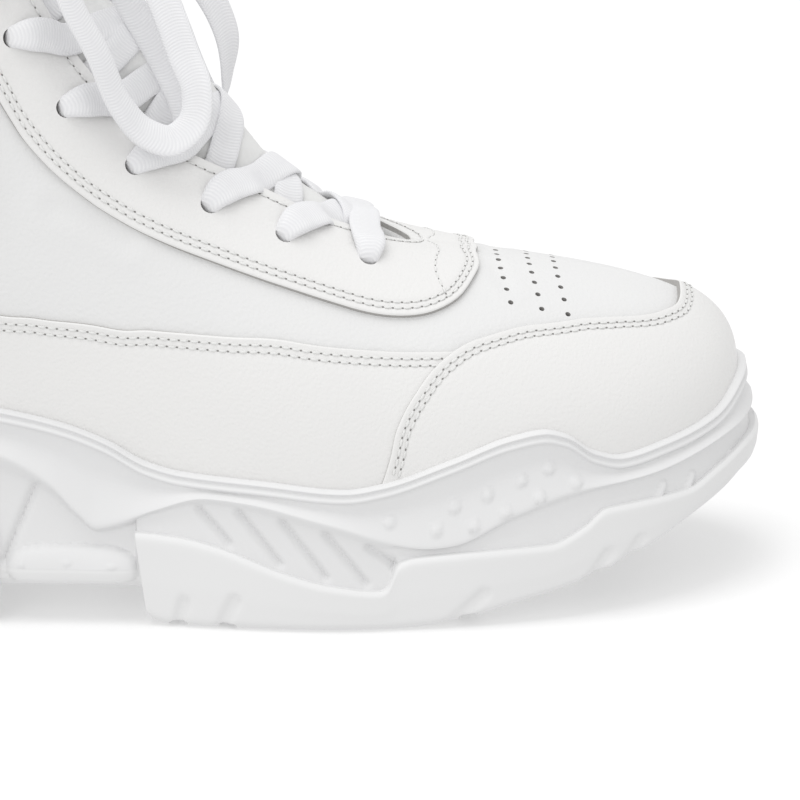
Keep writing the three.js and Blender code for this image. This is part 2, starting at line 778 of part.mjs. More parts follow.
// A leaning bar that cuts one cross groove into the underside.
function treadCutter(row) {
  const x = (row.at * SOLE_LENGTH) / 2;
  const turn = turnAtX(x);
  const REACH = 4;
  const rise = undersideHeight(turnAtX(x + REACH)) - undersideHeight(turnAtX(x - REACH));
  const tall = 4 * TREAD_DEPTH;
  const bar = new THREE.BoxGeometry(TREAD_WIDTH, row.reach * BALL_WIDTH, tall);
  bar.translate(0, 0, TREAD_DEPTH - tall / 2);
  bar.rotateY(TREAD_LEAN - Math.atan2(rise, 2 * REACH));
  bar.translate(x, swing(x) - SIDEWAYS, undersideHeight(turn));
  return bar;
}

function turnAtX(x) {
  let low = 0;
  let high = 1;
  while (high - low > 1e-5) {
    const middle = (low + high) / 2;
    if (straightEdge(middle).x < x) low = middle;
    else high = middle;
  }
  return low;
}

// Midsole: a platform whose wall steps from the ledge over the wave ridge to a rounded rim, round a footbed.
function stepClear(turn) {
  const REACH = 0.0025;
  return Math.max(ledgeHeight(turn - REACH), ledgeHeight(turn), ledgeHeight(turn + REACH)) + SEAM;
}

const LEAST_ROOM = 0.5;

function hollowRoom(turn) {
  return Math.max(LEAST_ROOM, rimHeight(turn) - BEAD_HEIGHT - waveHeight(turn));
}

function skirtRoom(turn) {
  return Math.max(LEAST_ROOM, waveHeight(turn) - stepClear(turn));
}

function midsoleProfile() {
  const FULL_ROOM = 8;
  const CREST = 0.7;
  const BEAD_SWELL = 0.5;
  const SWELL_AT = 0.4;
  const HOLLOW_AT = 0.35;
  const SKIRT_AT = 0.22;
  const SKIRT_STEP = 1;
  const deep = (t) => HOLLOW_DEPTH * Math.min(1, hollowRoom(t) / FULL_ROOM);
  const under = (t) => rimHeight(t) - BEAD_HEIGHT;
  return [
    { inset: () => RIM_WALL, z: footbedHeight },
    { inset: () => RIM_WALL, z: (t) => rimHeight(t) - CREST },
    { inset: () => RIM_WALL - BEAD_CORNER, z: rimHeight },
    { inset: () => BEAD_INSET + BEAD_SWELL, z: (t) => rimHeight(t) - BEAD_HEIGHT * SWELL_AT },
    { inset: () => BEAD_INSET, z: under },
    { inset: (t) => BEAD_INSET + deep(t), z: (t) => under(t) - hollowRoom(t) * HOLLOW_AT },
    { inset: () => RIDGE_INSET, z: waveHeight },
    { inset: () => LEDGE + SKIRT_STEP, z: (t) => waveHeight(t) - skirtRoom(t) * SKIRT_AT },
    { inset: () => GROOVE_FACE, z: (t) => mix(stepClear(t), waveHeight(t), SWELL_AT) },
    { inset: (t) => (inArch(t) ? ARCH_INSET - podSwell(t) : LEDGE), z: stepClear },
  ];
}

function midsole() {
  const rings = midsoleProfile().map((row) => SOLE_TURNS.map((t) => wallPoint(t, row.inset(t), row.z(t))));
  const cutters = [-1, 1].flatMap((side) => GROOVES.map((groove) => grooveCutter(groove, side)));
  return cut(ringStack(rings, false), cutters);
}

// A thin slanted bar, half sunk in the sole's side.
function grooveCutter(groove, side) {
  const turnOf = (at) => (side < 0 ? at : 2 - at);
  const PROUD = 3;
  const inset = GROOVE_FACE - GROOVE_DEPTH;
  const out = outward(turnOf(groove.head));
  const head = wallPoint(turnOf(groove.head), inset, waveHeight(groove.head) - GROOVE_HEAD);
  const foot = wallPoint(turnOf(groove.foot), inset, stepClear(groove.foot) + GROOVE_FOOT);
  const along = foot.clone().sub(head);
  const bar = new THREE.BoxGeometry(along.length(), GROOVE_WIDTH, 2 * GROOVE_DEPTH + PROUD);
  bar.translate(0, 0, PROUD / 2);
  const xAxis = along.clone().normalize();
  const zAxis = new THREE.Vector3(out.x, out.y, 0);
  zAxis.addScaledVector(xAxis, -zAxis.dot(xAxis)).normalize();
  const yAxis = zAxis.clone().cross(xAxis);
  const frame = new THREE.Matrix4().makeBasis(xAxis, yAxis, zAxis);
  frame.setPosition(head.clone().add(foot).multiplyScalar(0.5));
  bar.applyMatrix4(frame);
  return bar;
}

// Insole: a thin inlay on the footbed, inside the upper.
function insole() {
  const inset = RIM_WALL + SEAT + UPPER_WALL + SEAT;
  const ring = (lift) => SOLE_TURNS.map((t) => wallPoint(t, inset, footbedHeight(t) + lift));
  return ringStack([ring(SEAM), ring(SEAM + INSOLE_THICKNESS)], false);
}

// Upper: a hollow shell with a short skirt in the cup, open underneath, at the throat and at the collar.
const RISES = [0, 0.1, 0.22, 0.36, 0.5, 0.63, 0.76, 0.88, 1];

function upper() {
  const skirt = (inset) => UPPER_TURNS.map((t) => wallPoint(t, inset, footbedHeight(t) + SEAM));
  const sheet = (rise, lift) => UPPER_TURNS.map((t) => liftedPoint(t, rise, lift));
  const outer = RISES.map((rise) => sheet(rise, 0));
  const inner = [...RISES].reverse().map((rise) => sheet(rise, -UPPER_WALL));
  const inset = RIM_WALL + SEAT;
  const rings = [skirt(inset), ...outer, ...inner, skirt(inset + UPPER_WALL)];
  return cut(ringStack(rings, true), holeCutters());
}

// Lace holes: places on both sides, counted from the throat's front.
function holePlace(side, index) {
  return besideEdge(edgeTurn(side, FIRST_HOLE + index * HOLE_SPACING), HOLE_INSET);
}

function holeCutters() {
  const SIDES = 6;
  const REACH = 12;
  const cutters = [];
  [-1, 1].forEach((side) => {
    for (let i = 0; i < HOLE_COUNT; i += 1) {
      const place = holePlace(side, i);
      const pin = new THREE.CylinderGeometry(HOLE_DIAMETER / 2, HOLE_DIAMETER / 2, REACH, SIDES);
      const axis = faceDirection(place.turn, place.rise);
      pin.applyQuaternion(new THREE.Quaternion().setFromUnitVectors(new THREE.Vector3(0, 1, 0), axis));
      const centre = risePoint(place.turn, place.rise);
      pin.translate(centre.x, centre.y, centre.z);
      cutters.push(pin);
    }
  });
  return cutters;
}

// Overlays: plates that lie on the upper, between two edges given on its rise lines.
const faceLift = (face) => OVERLAY_GAP + face * OVERLAY_WALL;

function bandTurns(from, to) {
  const NEAREST = 0.006;
  const around = [...UPPER_TURNS.map((t) => t - 2), ...UPPER_TURNS];
  return [from, ...around.filter((t) => t > from + NEAREST && t < to - NEAREST), to];
}

function rimTop(turn) {
  const REACH = 0.012;
  return Math.max(rimHeight(turn - REACH), rimHeight(turn), rimHeight(turn + REACH)) + SEAT;
}

function toeCap() {
  const ROWS = 5;
  const LEAST_RISE = 0.02;
  const from = TOE_CAP_EDGE[0].at;
  const low = (t) => riseAtHeight(t, rimTop(t));
  const high = (t) => Math.max(read(TOE_CAP_EDGE, "rise", girthShare(t)), low(t) + LEAST_RISE);
  return plate(bandTurns(from, 2 - from), ROWS, (t, row, face) =>
    liftedPoint(t, mix(low(t), high(t), row), faceLift(face)),
  );
}

// The rise at which a rise line passes a height.
function riseAtHeight(turn, z) {
  let low = 0;
  let high = 0.5;
  while (high - low > 1e-4) {
    const middle = (low + high) / 2;
    if (risePoint(turn, middle).z < z) low = middle;
    else high = middle;
  }
  return low;
}

function sideOverlay() {
  const ROWS = 4;
  const CAP_CLEARANCE = 0.012;
  const END_AT = 0.705;
  const rim = (t) => riseAtHeight(t, rimTop(t));
  const low = (t) => {
    const at = girthShare(t);
    const cap = at < TOE_CAP_EDGE[0].at ? 0 : read(TOE_CAP_EDGE, "rise", at) + CAP_CLEARANCE;
    return Math.max(rim(t), cap);
  };
  const high = (t) => read(SIDE_OVERLAY_EDGE, "rise", girthShare(t));
  return plate(bandTurns(-END_AT, END_AT), ROWS, (t, row, face) =>
    liftedPoint(t, mix(low(t), high(t), row), faceLift(face)),
  );
}

function eyestay() {
  const ROWS = 4;
  const COLUMNS = 20;
  const CROWDING = 1.9;
  const EDGE_STEP = 0.6;
  const run = edgeLength();
  const columns = [];
  for (let i = -COLUMNS; i <= COLUMNS; i += 1) {
    const share = (Math.abs(i) / COLUMNS) ** CROWDING;
    columns.push({ side: i < 0 ? -1 : 1, distance: share * run });
  }
  const base = plate(columns, ROWS, (column, row, face) => {
    const width = EYESTAY_WIDTH * read(EYESTAY_EDGE, "width", column.distance / EYESTAY_WIDTH);
    const place = besideEdge(edgeTurn(column.side, column.distance), mix(EDGE_STEP, width, row));
    return liftedPoint(place.turn, place.rise, faceLift(face));
  });
  return cut(base, holeCutters());
}

// Tongue: a padded plate under the throat's edges. Its rows follow the throat from the front to above the top.
function tuckedPoint(side, distance, inward, depth) {
  const place = besideEdge(edgeTurn(side, distance), inward);
  return liftedPoint(place.turn, place.rise, -UPPER_WALL - TONGUE_GAP - depth);
}

// A point of the tongue's face between the two edges; across runs from the outer edge (0) to the inner (1).
const CROWN_IN = 1.5;

function crownPoint(distance, across, lift) {
  const outer = tuckedPoint(-1, distance, CROWN_IN, 0);
  const inner = tuckedPoint(1, distance, CROWN_IN, 0);
  const up = crownDirection(distance);
  const open = ease((distance - TONGUE_FRONT) / CROWN_RUN);
  const crown = TONGUE_CROWN * open * (1 - (2 * across - 1) ** 2);
  return outer.lerp(inner, across).addScaledVector(up, crown + lift);
}

function crownDirection(distance) {
  const direction = new THREE.Vector3();
  [-1, 1].forEach((side) => {
    const place = besideEdge(edgeTurn(side, distance), CROWN_IN);
    direction.add(faceDirection(place.turn, place.rise));
  });
  return direction.normalize();
}

function tongue() {
  const BODY_ROWS = 9;
  const TIP_REACH = 12;
  const TIP_STEP = 2.5;
  const ACROSS = [-4, -3, -2, -1, 0, 1, 2, 3, 4];
  const LAST = 4;
  const CROWN_STEP = 0.27;
  const WING_SHARES = [0.1, 0.5, 1];
  const TOP_WIDTH = 0.78;
  const TOP_CORNER = 0.72;
  const TOP_ROWS = [0.55, 1];
  const SLOPE_REACH = 12;
  const run = edgeLength();
  const sideAt = (c) => (c < 0 ? -1 : 1);
  const tipPoint = (c, depth) => {
    const wide = Math.abs(c) / LAST;
    return tuckedPoint(sideAt(c), wide * TIP_STEP, mix(TIP_REACH, TONGUE_WING, wide), depth);
  };
  const bodyPoint = (distance, c, depth) => {
    const step = Math.abs(c);
    if (step < 2) return crownPoint(distance, 0.5 + c * CROWN_STEP, -depth);
    return tuckedPoint(sideAt(c), distance, TONGUE_WING * WING_SHARES[step - 2], depth);
  };
  const topPoint = (share, c, depth) => {
    const last = bodyPoint(run, c, depth);
    const before = bodyPoint(run - SLOPE_REACH, c, depth);
    const middle = bodyPoint(run, 0, depth);
    const along = last.clone().sub(before).normalize();
    const narrow = mix(1, TOP_WIDTH, share * share);
    const rise = TONGUE_TOP * share * mix(1, TOP_CORNER, (Math.abs(c) / LAST) ** 3);
    return middle.clone().lerp(last, narrow).addScaledVector(along, rise);
  };
  const rows = [tipPoint];
  for (let r = 0; r < BODY_ROWS; r += 1) {
    const distance = mix(TONGUE_FRONT, run, r / (BODY_ROWS - 1));
    rows.push((c, depth) => bodyPoint(distance, c, depth));
  }
  TOP_ROWS.forEach((share) => rows.push((c, depth) => topPoint(share, c, depth)));
  return plate(ACROSS, rows.length, (c, row, face) => {
    const index = Math.round(row * (rows.length - 1));
    return rows[index](c, (1 - face) * TONGUE_THICKNESS);
  });
}

// A flat band swept through stations, each a point with the direction that its face looks.
function ribbon(stations) {
  const points = [];
  stations.forEach((station, i) => {
    const before = stations[Math.max(0, i - 1)].point;
    const after = stations[Math.min(stations.length - 1, i + 1)].point;
    const along = after.clone().sub(before).normalize();
    const across = station.face.clone().cross(along).normalize();
    const up = along.clone().cross(across).normalize();
    [[-1, -1], [1, -1], [1, 1], [-1, 1]].forEach(([a, u]) => {
      const corner = station.point.clone().addScaledVector(across, (a * LACE_WIDTH) / 2);
      points.push(corner.addScaledVector(up, (u * LACE_THICKNESS) / 2));
    });
  });
  const triangles = gridTriangles(stations.length, 4, true, 0);
  const last = 4 * (stations.length - 1);
  triangles.push([0, 2, 1], [0, 3, 2], [last, last + 1, last + 2], [last, last + 2, last + 3]);
  return closedGeometry(points, triangles);
}

const LACE_LIFT = OVERLAY_GAP + OVERLAY_WALL + LACE_GAP + LACE_THICKNESS / 2;

function stayStation(side, distance, inward, bulge) {
  const place = besideEdge(edgeTurn(side, distance), inward);
  return {
    point: liftedPoint(place.turn, place.rise, LACE_LIFT + bulge),
    face: faceDirection(place.turn, place.rise),
  };
}

// One run of lace from a hole over its own side's edge and the tongue, to just before the other edge.
function strand(side, from, to) {
  const AT_EDGE = 0.34;
  const MIDDLE = 0.66;
  const FAR_SIDE = 0.72;
  const FAR_END = 0.88;
  const at = (share) => mix(from, to, share);
  const crown = (share, across) => ({
    point: crownPoint(at(share), side < 0 ? across : 1 - across, LACE_GAP + LACE_THICKNESS / 2),
    face: crownDirection(at(share)),
  });
  return ribbon([
    stayStation(side, at(0), HOLE_INSET, -LACE_SINK),
    stayStation(side, at(AT_EDGE), CROWN_IN, LACE_BULGE),
    crown(MIDDLE, 0.5),
    crown(FAR_END, FAR_SIDE),
  ]);
}

const holeRun = (index) => FIRST_HOLE + index * HOLE_SPACING;

// The lace's bar over the front pair of holes.
function laceBar() {
  const EDGE_IN = 0.6;
  const run = holeRun(0);
  const inwards = [HOLE_INSET, HOLE_INSET / 2, EDGE_IN];
  return ribbon([
    ...inwards.map((inward) => stayStation(-1, run, inward, -LACE_SINK)),
    ...[...inwards].reverse().map((inward) => stayStation(1, run, inward, -LACE_SINK)),
  ]);
}

function laceCrossing(index) {
  return joined([-1, 1].map((side) => strand(side, holeRun(index), holeRun(index - 1))));
}

// Bow: a knot over the top crossing, two loops that hang forward and two ends.
const KNOT_AT = new THREE.Vector3(-29, 0, 187);
const OUTER_LOOP = [
  [-29, -7.8, 188], [-30, -18, 184], [-27, -26, 170], [-23, -29.5, 154], [-16.5, -30, 141],
  [-10.8, -30, 126], [-5, -28.8, 119], [2, -28, 117], [7, -27, 120.8], [7.5, -25.5, 129.5],
  [4.6, -23, 138.5], [1.7, -21, 146.7], [-3, -18, 158], [-12, -13, 172], [-20.5, -8, 183],
];
const INNER_LOOP = [
  [-29, 8.2, 188], [-26, 15, 183], [-18, 17, 171], [-8, 17, 159], [-1, 16, 148], [4, 15, 139],
  [8.3, 14, 129.6], [12, 14, 122.5], [14.5, 14, 120], [16, 14, 127], [16, 14, 134.8], [14, 14, 141],
  [9, 13.5, 150], [0, 12, 164], [-10, 10, 176], [-19, 7, 184],
];
const OUTER_END = [[-26.5, -3.4, 182.6], [-18, -8, 168], [-10, -11, 152], [-4, -12, 142], [1, -12, 133]];
const INNER_END = [[-26.5, 3.4, 182.6], [-21, 10, 168], [-15, 17, 155], [-11, 22, 143], [-9, 25, 131]];

function cord(points, steps) {
  const SIDES = 8;
  const section = new THREE.Shape();
  for (let i = 0; i < SIDES; i += 1) {
    const angle = (2 * Math.PI * i) / SIDES;
    const x = (Math.cos(angle) * CORD_DIAMETER) / 2;
    const y = (Math.sin(angle) * CORD_DIAMETER) / 2;
    if (i === 0) section.moveTo(x, y);
    else section.lineTo(x, y);
  }
  const path = new THREE.CatmullRomCurve3(points.map((p) => new THREE.Vector3(...p)));
  return new THREE.ExtrudeGeometry(section, { steps, bevelEnabled: false, extrudePath: path });
}

function knot() {
  const SHARES = { long: 0.35, wide: 0.46, tall: 0.32 };
  const ball = new THREE.SphereGeometry(KNOT_LENGTH, 10, 6);
  ball.scale(SHARES.long, SHARES.wide, SHARES.tall);
  ball.translate(KNOT_AT.x, KNOT_AT.y, KNOT_AT.z);
  return ball;
}

const piece = (name, geometry, color, roughness) => {
  const material = new THREE.MeshStandardMaterial({ color, roughness, metalness: 0 });
  const mesh = new THREE.Mesh(geometry, material);
  mesh.name = name;
  return mesh;
};

const shoe = new THREE.Group();
shoe.add(
  piece("outsole", outsole(), 0xeeeeea, 0.6),
  piece("midsole", midsole(), 0xf2f2ee, 0.55),
  piece("upper", upper(), 0xf4f4f2, 0.45),
  piece("insole", insole(), 0xe6e6e2, 0.9),
  piece("toe_cap", toeCap(), 0xf4f4f2, 0.45),
  piece("side_overlay", sideOverlay(), 0xf4f4f2, 0.45),
  piece("eyestay", eyestay(), 0xf4f4f2, 0.45),
  piece("tongue", tongue(), 0xf0f0ee, 0.7),
  piece("lace_bar", laceBar(), 0xf6f6f4, 0.85),
  piece("bow_knot", knot(), 0xf6f6f4, 0.85),
  piece("bow_loop_outer", cord(OUTER_LOOP, 20), 0xf6f6f4, 0.85),
  piece("bow_loop_inner", cord(INNER_LOOP, 20), 0xf6f6f4, 0.85),
  piece("lace_end_outer", cord(OUTER_END, 7), 0xf6f6f4, 0.85),
  piece("lace_end_inner", cord(INNER_END, 7), 0xf6f6f4, 0.85),
);

for (let i = 1; i < HOLE_COUNT; i += 1) {
  shoe.add(piece(`lace_crossing_${i}`, laceCrossing(i), 0xf6f6f4, 0.85));
}

export default shoe;
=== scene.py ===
"""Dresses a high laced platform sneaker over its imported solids.

Lengths are worked out in millimetres, as on the solids, and turned to metres where a mesh is made.
+X runs to the toe, -Y to the outer side, +Z up. A "turn" runs round the shoe from the middle of the heel (0)
over the outer side to the toe (1) and back over the inner side (2).
"""

import logging
import math
from dataclasses import dataclass, field
from enum import Enum
from typing import Sequence

import bpy
import numpy as np
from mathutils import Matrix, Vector


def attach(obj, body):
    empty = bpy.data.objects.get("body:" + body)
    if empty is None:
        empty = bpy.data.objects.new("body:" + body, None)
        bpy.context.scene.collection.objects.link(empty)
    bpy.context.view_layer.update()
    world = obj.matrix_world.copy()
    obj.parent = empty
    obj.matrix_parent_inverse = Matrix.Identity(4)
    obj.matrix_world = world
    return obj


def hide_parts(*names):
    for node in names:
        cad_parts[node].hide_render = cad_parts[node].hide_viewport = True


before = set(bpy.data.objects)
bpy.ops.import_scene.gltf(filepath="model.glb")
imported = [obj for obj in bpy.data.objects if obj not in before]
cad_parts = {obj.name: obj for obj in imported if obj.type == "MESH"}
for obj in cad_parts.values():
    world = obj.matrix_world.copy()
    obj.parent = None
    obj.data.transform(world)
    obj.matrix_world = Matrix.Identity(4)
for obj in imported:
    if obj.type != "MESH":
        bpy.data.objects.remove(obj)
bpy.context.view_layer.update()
LOG = logging.getLogger("sneaker")
MM = 0.001
Array = np.ndarray

# Sole sizes, as on the solids
SOLE_LENGTH = 300.0
BALL_WIDTH = 108.0
WAIST_WIDTH = 80.0
HEEL_WIDTH = 88.0
WAIST_SWING = 3.0
TOE_SWING = 9.0
PLATFORM_HEIGHT = 60.0
TOE_SPRING = 29.0
RIM_WALL = 7.0
BEAD_HEIGHT = 3.6
BEAD_INSET = 3.1
RIDGE_INSET = 1.5
HOLLOW_DEPTH = 1.7
LEDGE = 2.4
ARCH_INSET = 3.0
POD_SWELL = 2.6
POD_LENGTH = 30.0
POD_PLACE = 0.17
POD_MIDDLE = 14.4
POD_HALF = 5.3
BLOCK_LEAN = 3.0
BLOCK_WALL = -11.0
LEAN_BEHIND = 3.0
LEAN_AHEAD = 14.0
LEAN_TOP = 24.0
SOLE_CORNER = 2.2
TREAD_DEPTH = 3.0
TREAD_WIDTH = 4.5

# Upper, inside and lacing sizes, as on the solids
UPPER_HEIGHT = 135.0
UPPER_WALL = 2.0
EYESTAY_WIDTH = 26.5
HOLE_COUNT = 8
HOLE_SPACING = 20.0
FIRST_HOLE = 17.5
HOLE_INSET = 12.8
HOLE_DIAMETER = 4.8
INSOLE_THICKNESS = 4.0
TONGUE_THICKNESS = 5.0
TONGUE_WING = 17.0
TONGUE_CROWN = 3.0
TONGUE_TOP = 15.0
TONGUE_FRONT = 5.0
CROWN_RUN = 35.0
CROWN_IN = 1.5
LACE_WIDTH = 8.0
SEAM = 0.3
SEAT = 0.5
TONGUE_GAP = 1.1

# Sizes of the finish
OVERLAY_FOOT = 0.0
OVERLAY_TOP = 1.5
SIDE_TOP = 1.1
CAP_TOP = 1.8
CAP_OVERLAP = 0.012
SIDE_END = 0.7345
SIDE_SEWN = 0.722
RIM_TUCK = 2.6
CALM_REACH = 10.0
AIR_ROWS = (84.8, 92.6, 99.2)
AIR_HALF = 23.1
AIR_COUNT = 12
AIR_BOW = 2.1
AIR_HOLE_DIAMETER = 1.4
COLLAR_REACH = 0.982
COLLAR_RUN = 9.0
LACE_THICKNESS = 1.35
STITCH_PITCH = 2.5
SMALL_STEP = 2e-3


class Table:
    """Rows with named columns, read by smooth curves that don't overshoot."""

    def __init__(self, columns: str, rows: Sequence[tuple[float, ...]]) -> None:
        """Keeps the rows by column name; the first column is the place that the others are read at."""
        values = np.array(rows, dtype=float)
        self.at = values[:, 0]
        self.columns = dict(zip(columns.split(), values.T))

    def read(self, column: str, at: Array) -> Array:
        """Reads a column with a cubic through its rows, whose slope is the harmonic mean of its neighbours.

        Args:
            column: the column's name.
            at: places to read it at.

        Returns:
            The column's values there.
        """
        value = self.columns[column]
        slope = np.diff(value) / np.diff(self.at)
        before = np.concatenate([slope[:1], slope])
        after = np.concatenate([slope, slope[-1:]])
        total = np.where(before * after > 0, before + after, 1.0)
        knot = np.where(before * after > 0, 2 * before * after / total, 0.0)
        k = np.clip(np.searchsorted(self.at, at, side="right") - 1, 0, len(self.at) - 2)
        span = self.at[k + 1] - self.at[k]
        t = np.clip((at - self.at[k]) / span, 0.0, 1.0)
        near = 1 - t
        return (value[k] * near * near * (1 + 2 * t) + value[k + 1] * t * t * (3 - 2 * t)
                + span * t * near * (near * knot[k] - t * knot[k + 1]))


RIM = Table("at rise", [
    (0.0, 1.06), (0.12, 1.04), (0.25, 0.99), (0.34, 0.94), (0.377, 0.905), (0.4185, 0.843), (0.447, 0.778),
    (0.476, 0.687), (0.5, 0.652), (0.56, 0.622), (0.6175, 0.592), (0.644, 0.613), (0.693, 0.705),
    (0.735, 0.79), (0.759, 0.81), (0.776, 0.785), (0.798, 0.702), (0.82, 0.667), (0.856, 0.695),
    (0.91, 0.758), (0.955, 0.85), (1.0, 0.885)])
WELT = Table("at rise", [
    (0.0, 1.017), (0.2, 0.975), (0.34, 0.917), (0.377, 0.883), (0.4185, 0.817), (0.4475, 0.755),
    (0.476, 0.672), (0.505, 0.638), (0.56, 0.61), (0.62, 0.583), (0.68, 0.6), (0.74, 0.633), (0.83, 0.655),
    (0.885, 0.71), (0.935, 0.79), (1.0, 0.865)])
WAVE = Table("at rise", [
    (0.0, 0.8), (0.15, 0.76), (0.28, 0.79), (0.35, 0.76), (0.378, 0.71), (0.409, 0.597), (0.428, 0.475),
    (0.4415, 0.41), (0.456, 0.43), (0.482, 0.495), (0.518, 0.555), (0.549, 0.538), (0.604, 0.457),
    (0.678, 0.343), (0.694, 0.352), (0.739, 0.47), (0.781, 0.543), (0.841, 0.578), (0.917, 0.667),
    (1.0, 0.725)])
LEDGE_LINE = Table("at rise", [
    (0.0, 0.5), (0.15, 0.42), (0.25, 0.33), (0.33, 0.37), (0.3715, 0.4), (0.3745, 0.238), (0.466, 0.238),
    (0.469, 0.4), (0.496, 0.388), (0.5225, 0.358), (0.5775, 0.242), (0.604, 0.2), (0.642, 0.172),
    (0.6475, 0.192), (0.655, 0.285), (0.667, 0.308), (0.725, 0.325), (0.762, 0.33), (0.7875, 0.393),
    (0.804, 0.46), (0.87, 0.48), (0.9, 0.54), (0.94, 0.6), (1.0, 0.62)])
FOOTBED = Table("at rise", [
    (0.0, 0.767), (0.2, 0.733), (0.38, 0.63), (0.5, 0.53), (0.6, 0.475), (0.68, 0.475), (0.78, 0.525),
    (0.87, 0.6), (1.0, 0.7)])
UNDERSIDE = Table("at rise", [
    (0.0, 0.22), (0.05, 0.12), (0.1, 0.03), (0.14, 0.0), (0.363, 0.0), (0.3715, 0.03), (0.375, 0.3),
    (0.466, 0.3), (0.4695, 0.06), (0.482, 0.01), (0.5, 0.0), (0.64, 0.0), (0.691, 0.04), (0.7125, 0.09),
    (0.7375, 0.17), (0.771, 0.26), (0.803, 0.37), (0.848, 0.57), (0.877, 0.71), (0.908, 0.84),
    (0.936, 0.94), (1.0, 1.0)])
TOP_LINE = Table("at x half top", [
    (0.0, -0.88, 0.0, 0.941), (0.08, -0.84, 0.315, 0.944), (0.18, -0.727, 0.556, 0.956),
    (0.28, -0.547, 0.62, 0.978), (0.35, -0.387, 0.519, 1.0), (0.38, -0.32, 0.426, 1.0),
    (0.395, -0.29, 0.37, 0.963), (0.415, -0.26, 0.333, 0.844), (0.44, -0.22, 0.309, 0.73),
    (0.47, -0.167, 0.283, 0.615), (0.51, -0.093, 0.259, 0.504), (0.56, 0.0, 0.226, 0.411),
    (0.62, 0.113, 0.204, 0.341), (0.7, 0.233, 0.185, 0.267), (0.78, 0.333, 0.148, 0.215),
    (0.86, 0.387, 0.083, 0.19), (0.93, 0.4, 0.037, 0.184), (1.0, 0.403, 0.0, 0.181)])
RISE_PULL = Table("at climb out bowX bowY bowZ", [
    (0.0, 0.311, 0.013, 0.067, 0.0, -0.348), (0.08, 0.319, 0.013, 0.06, -0.056, -0.348),
    (0.18, 0.333, 0.013, 0.04, -0.111, -0.348), (0.28, 0.356, 0.013, 0.02, -0.111, -0.356),
    (0.35, 0.356, 0.01, 0.007, -0.019, -0.37), (0.38, 0.341, 0.007, 0.0, 0.056, -0.341),
    (0.395, 0.333, 0.007, -0.007, 0.074, -0.311), (0.415, 0.319, 0.007, -0.013, 0.111, -0.252),
    (0.44, 0.296, 0.003, -0.007, 0.148, -0.2), (0.47, 0.274, 0.003, 0.0, 0.185, -0.163),
    (0.51, 0.252, 0.0, 0.007, 0.222, -0.133), (0.56, 0.23, 0.0, 0.013, 0.241, -0.104),
    (0.62, 0.215, 0.0, 0.027, 0.259, -0.089), (0.7, 0.2, 0.0, 0.06, 0.259, -0.074),
    (0.78, 0.185, 0.0, 0.12, 0.241, -0.052), (0.86, 0.178, 0.0, 0.213, 0.204, -0.037),
    (0.93, 0.17, 0.0, 0.28, 0.111, -0.037), (1.0, 0.17, 0.0, 0.317, 0.0, -0.041)])
TOE_CAP_EDGE = Table("at rise", [
    (0.6425, 0.0), (0.65, 0.075), (0.659, 0.162), (0.683, 0.274), (0.713, 0.367), (0.754, 0.444),
    (0.812, 0.488), (0.848, 0.486), (0.882, 0.456), (0.924, 0.394), (0.955, 0.37), (1.0, 0.38)])
SIDE_OVERLAY_EDGE = Table("at rise", [
    (0.0, 0.165), (0.379, 0.174), (0.407, 0.193), (0.447, 0.243), (0.493, 0.32), (0.553, 0.371),
    (0.603, 0.402), (0.723, 0.402)])

# The eyestay's outer edge: distance from the throat's front and width there, both in eyestay widths
EYESTAY_EDGE = Table("at width", [
    (0.0, 0.62), (0.08, 0.68), (0.15, 0.86), (0.23, 1.03), (0.31, 1.11), (0.41, 1.13), (0.53, 1.12),
    (0.68, 1.09), (0.94, 1.04), (1.3, 1.01), (2.4, 1.0), (3.3, 0.99), (3.8, 0.95), (4.3, 0.89), (6.3, 0.86)])

# How far the tongue's middle stands out: distance from the throat's front and height, in millimetres
TONGUE_STAND = Table("at lift", [
    (5.0, 0.0), (12.0, 1.8), (20.0, 3.4), (38.0, 4.6), (46.0, 5.8), (54.0, 9.0), (62.0, 13.0), (78.0, 17.5),
    (95.0, 16.5), (112.0, 10.5), (128.0, 4.5), (142.0, 1.0), (165.0, 0.0)])

# Lines on the sole's side: girth share and height of both ends. Grooves run from the wave to the ledge.
GROOVES = [(0.338, 0.31), (0.37, 0.34), (0.401, 0.378), (0.513, 0.534), (0.541, 0.57), (0.572, 0.603),
           (0.603, 0.632), (0.634, 0.652)]
DOTS = [(0.6645, 32.6), (0.687, 36.4), (0.7103, 39.1), (0.7355, 41.3), (0.7632, 38.7), (0.6485, 27.4),
        (0.6947, 30.4), (0.7183, 33.3), (0.7428, 36.3), (0.7825, 35.0), (0.6815, 25.2), (0.7077, 25.8),
        (0.7305, 28.9), (0.7552, 32.1)]
RIBS = [(0.8525, 30.8, 0.8475, 27.7), (0.8785, 31.6, 0.873, 28.1), (0.9225, 33.6, 0.9113, 30.6)]
NOTCHES = [(0.5002, 6.6, 0.492, -1.0), (0.5388, 7.6, 0.526, -1.0), (0.7147, 8.6, 0.688, 0.0),
           (0.8055, 16.0, 0.7915, 9.0), (0.8305, 18.2, 0.818, 12.0)]
POD_BUMPS = [(0.3895, 15.2), (0.4208, 15.9), (0.4515, 15.1), (0.3865, 10.6), (0.4208, 10.4), (0.4555, 10.6)]
TREAD = [(-0.8, 1.2), (-0.62, 1.2), (-0.46, 1.2), (0.01, 1.2), (0.09, 1.2), (0.19, 0.62), (0.28, 0.66),
         (0.37, 0.66), (0.485, 1.2), (0.6, 0.56), (0.705, 1.2), (0.765, 1.2)]
ARCH_FROM = 0.373
ARCH_TO = 0.4675


def ease(share: Array) -> Array:
    """A smooth step from 0 to 1: three squares minus two cubes."""
    t = np.clip(share, 0.0, 1.0)
    return t * t * (3 - 2 * t)


def mix(a: Array, b: Array, share: Array) -> Array:
    """The point at a share of the way from a to b."""
    return a + (b - a) * share


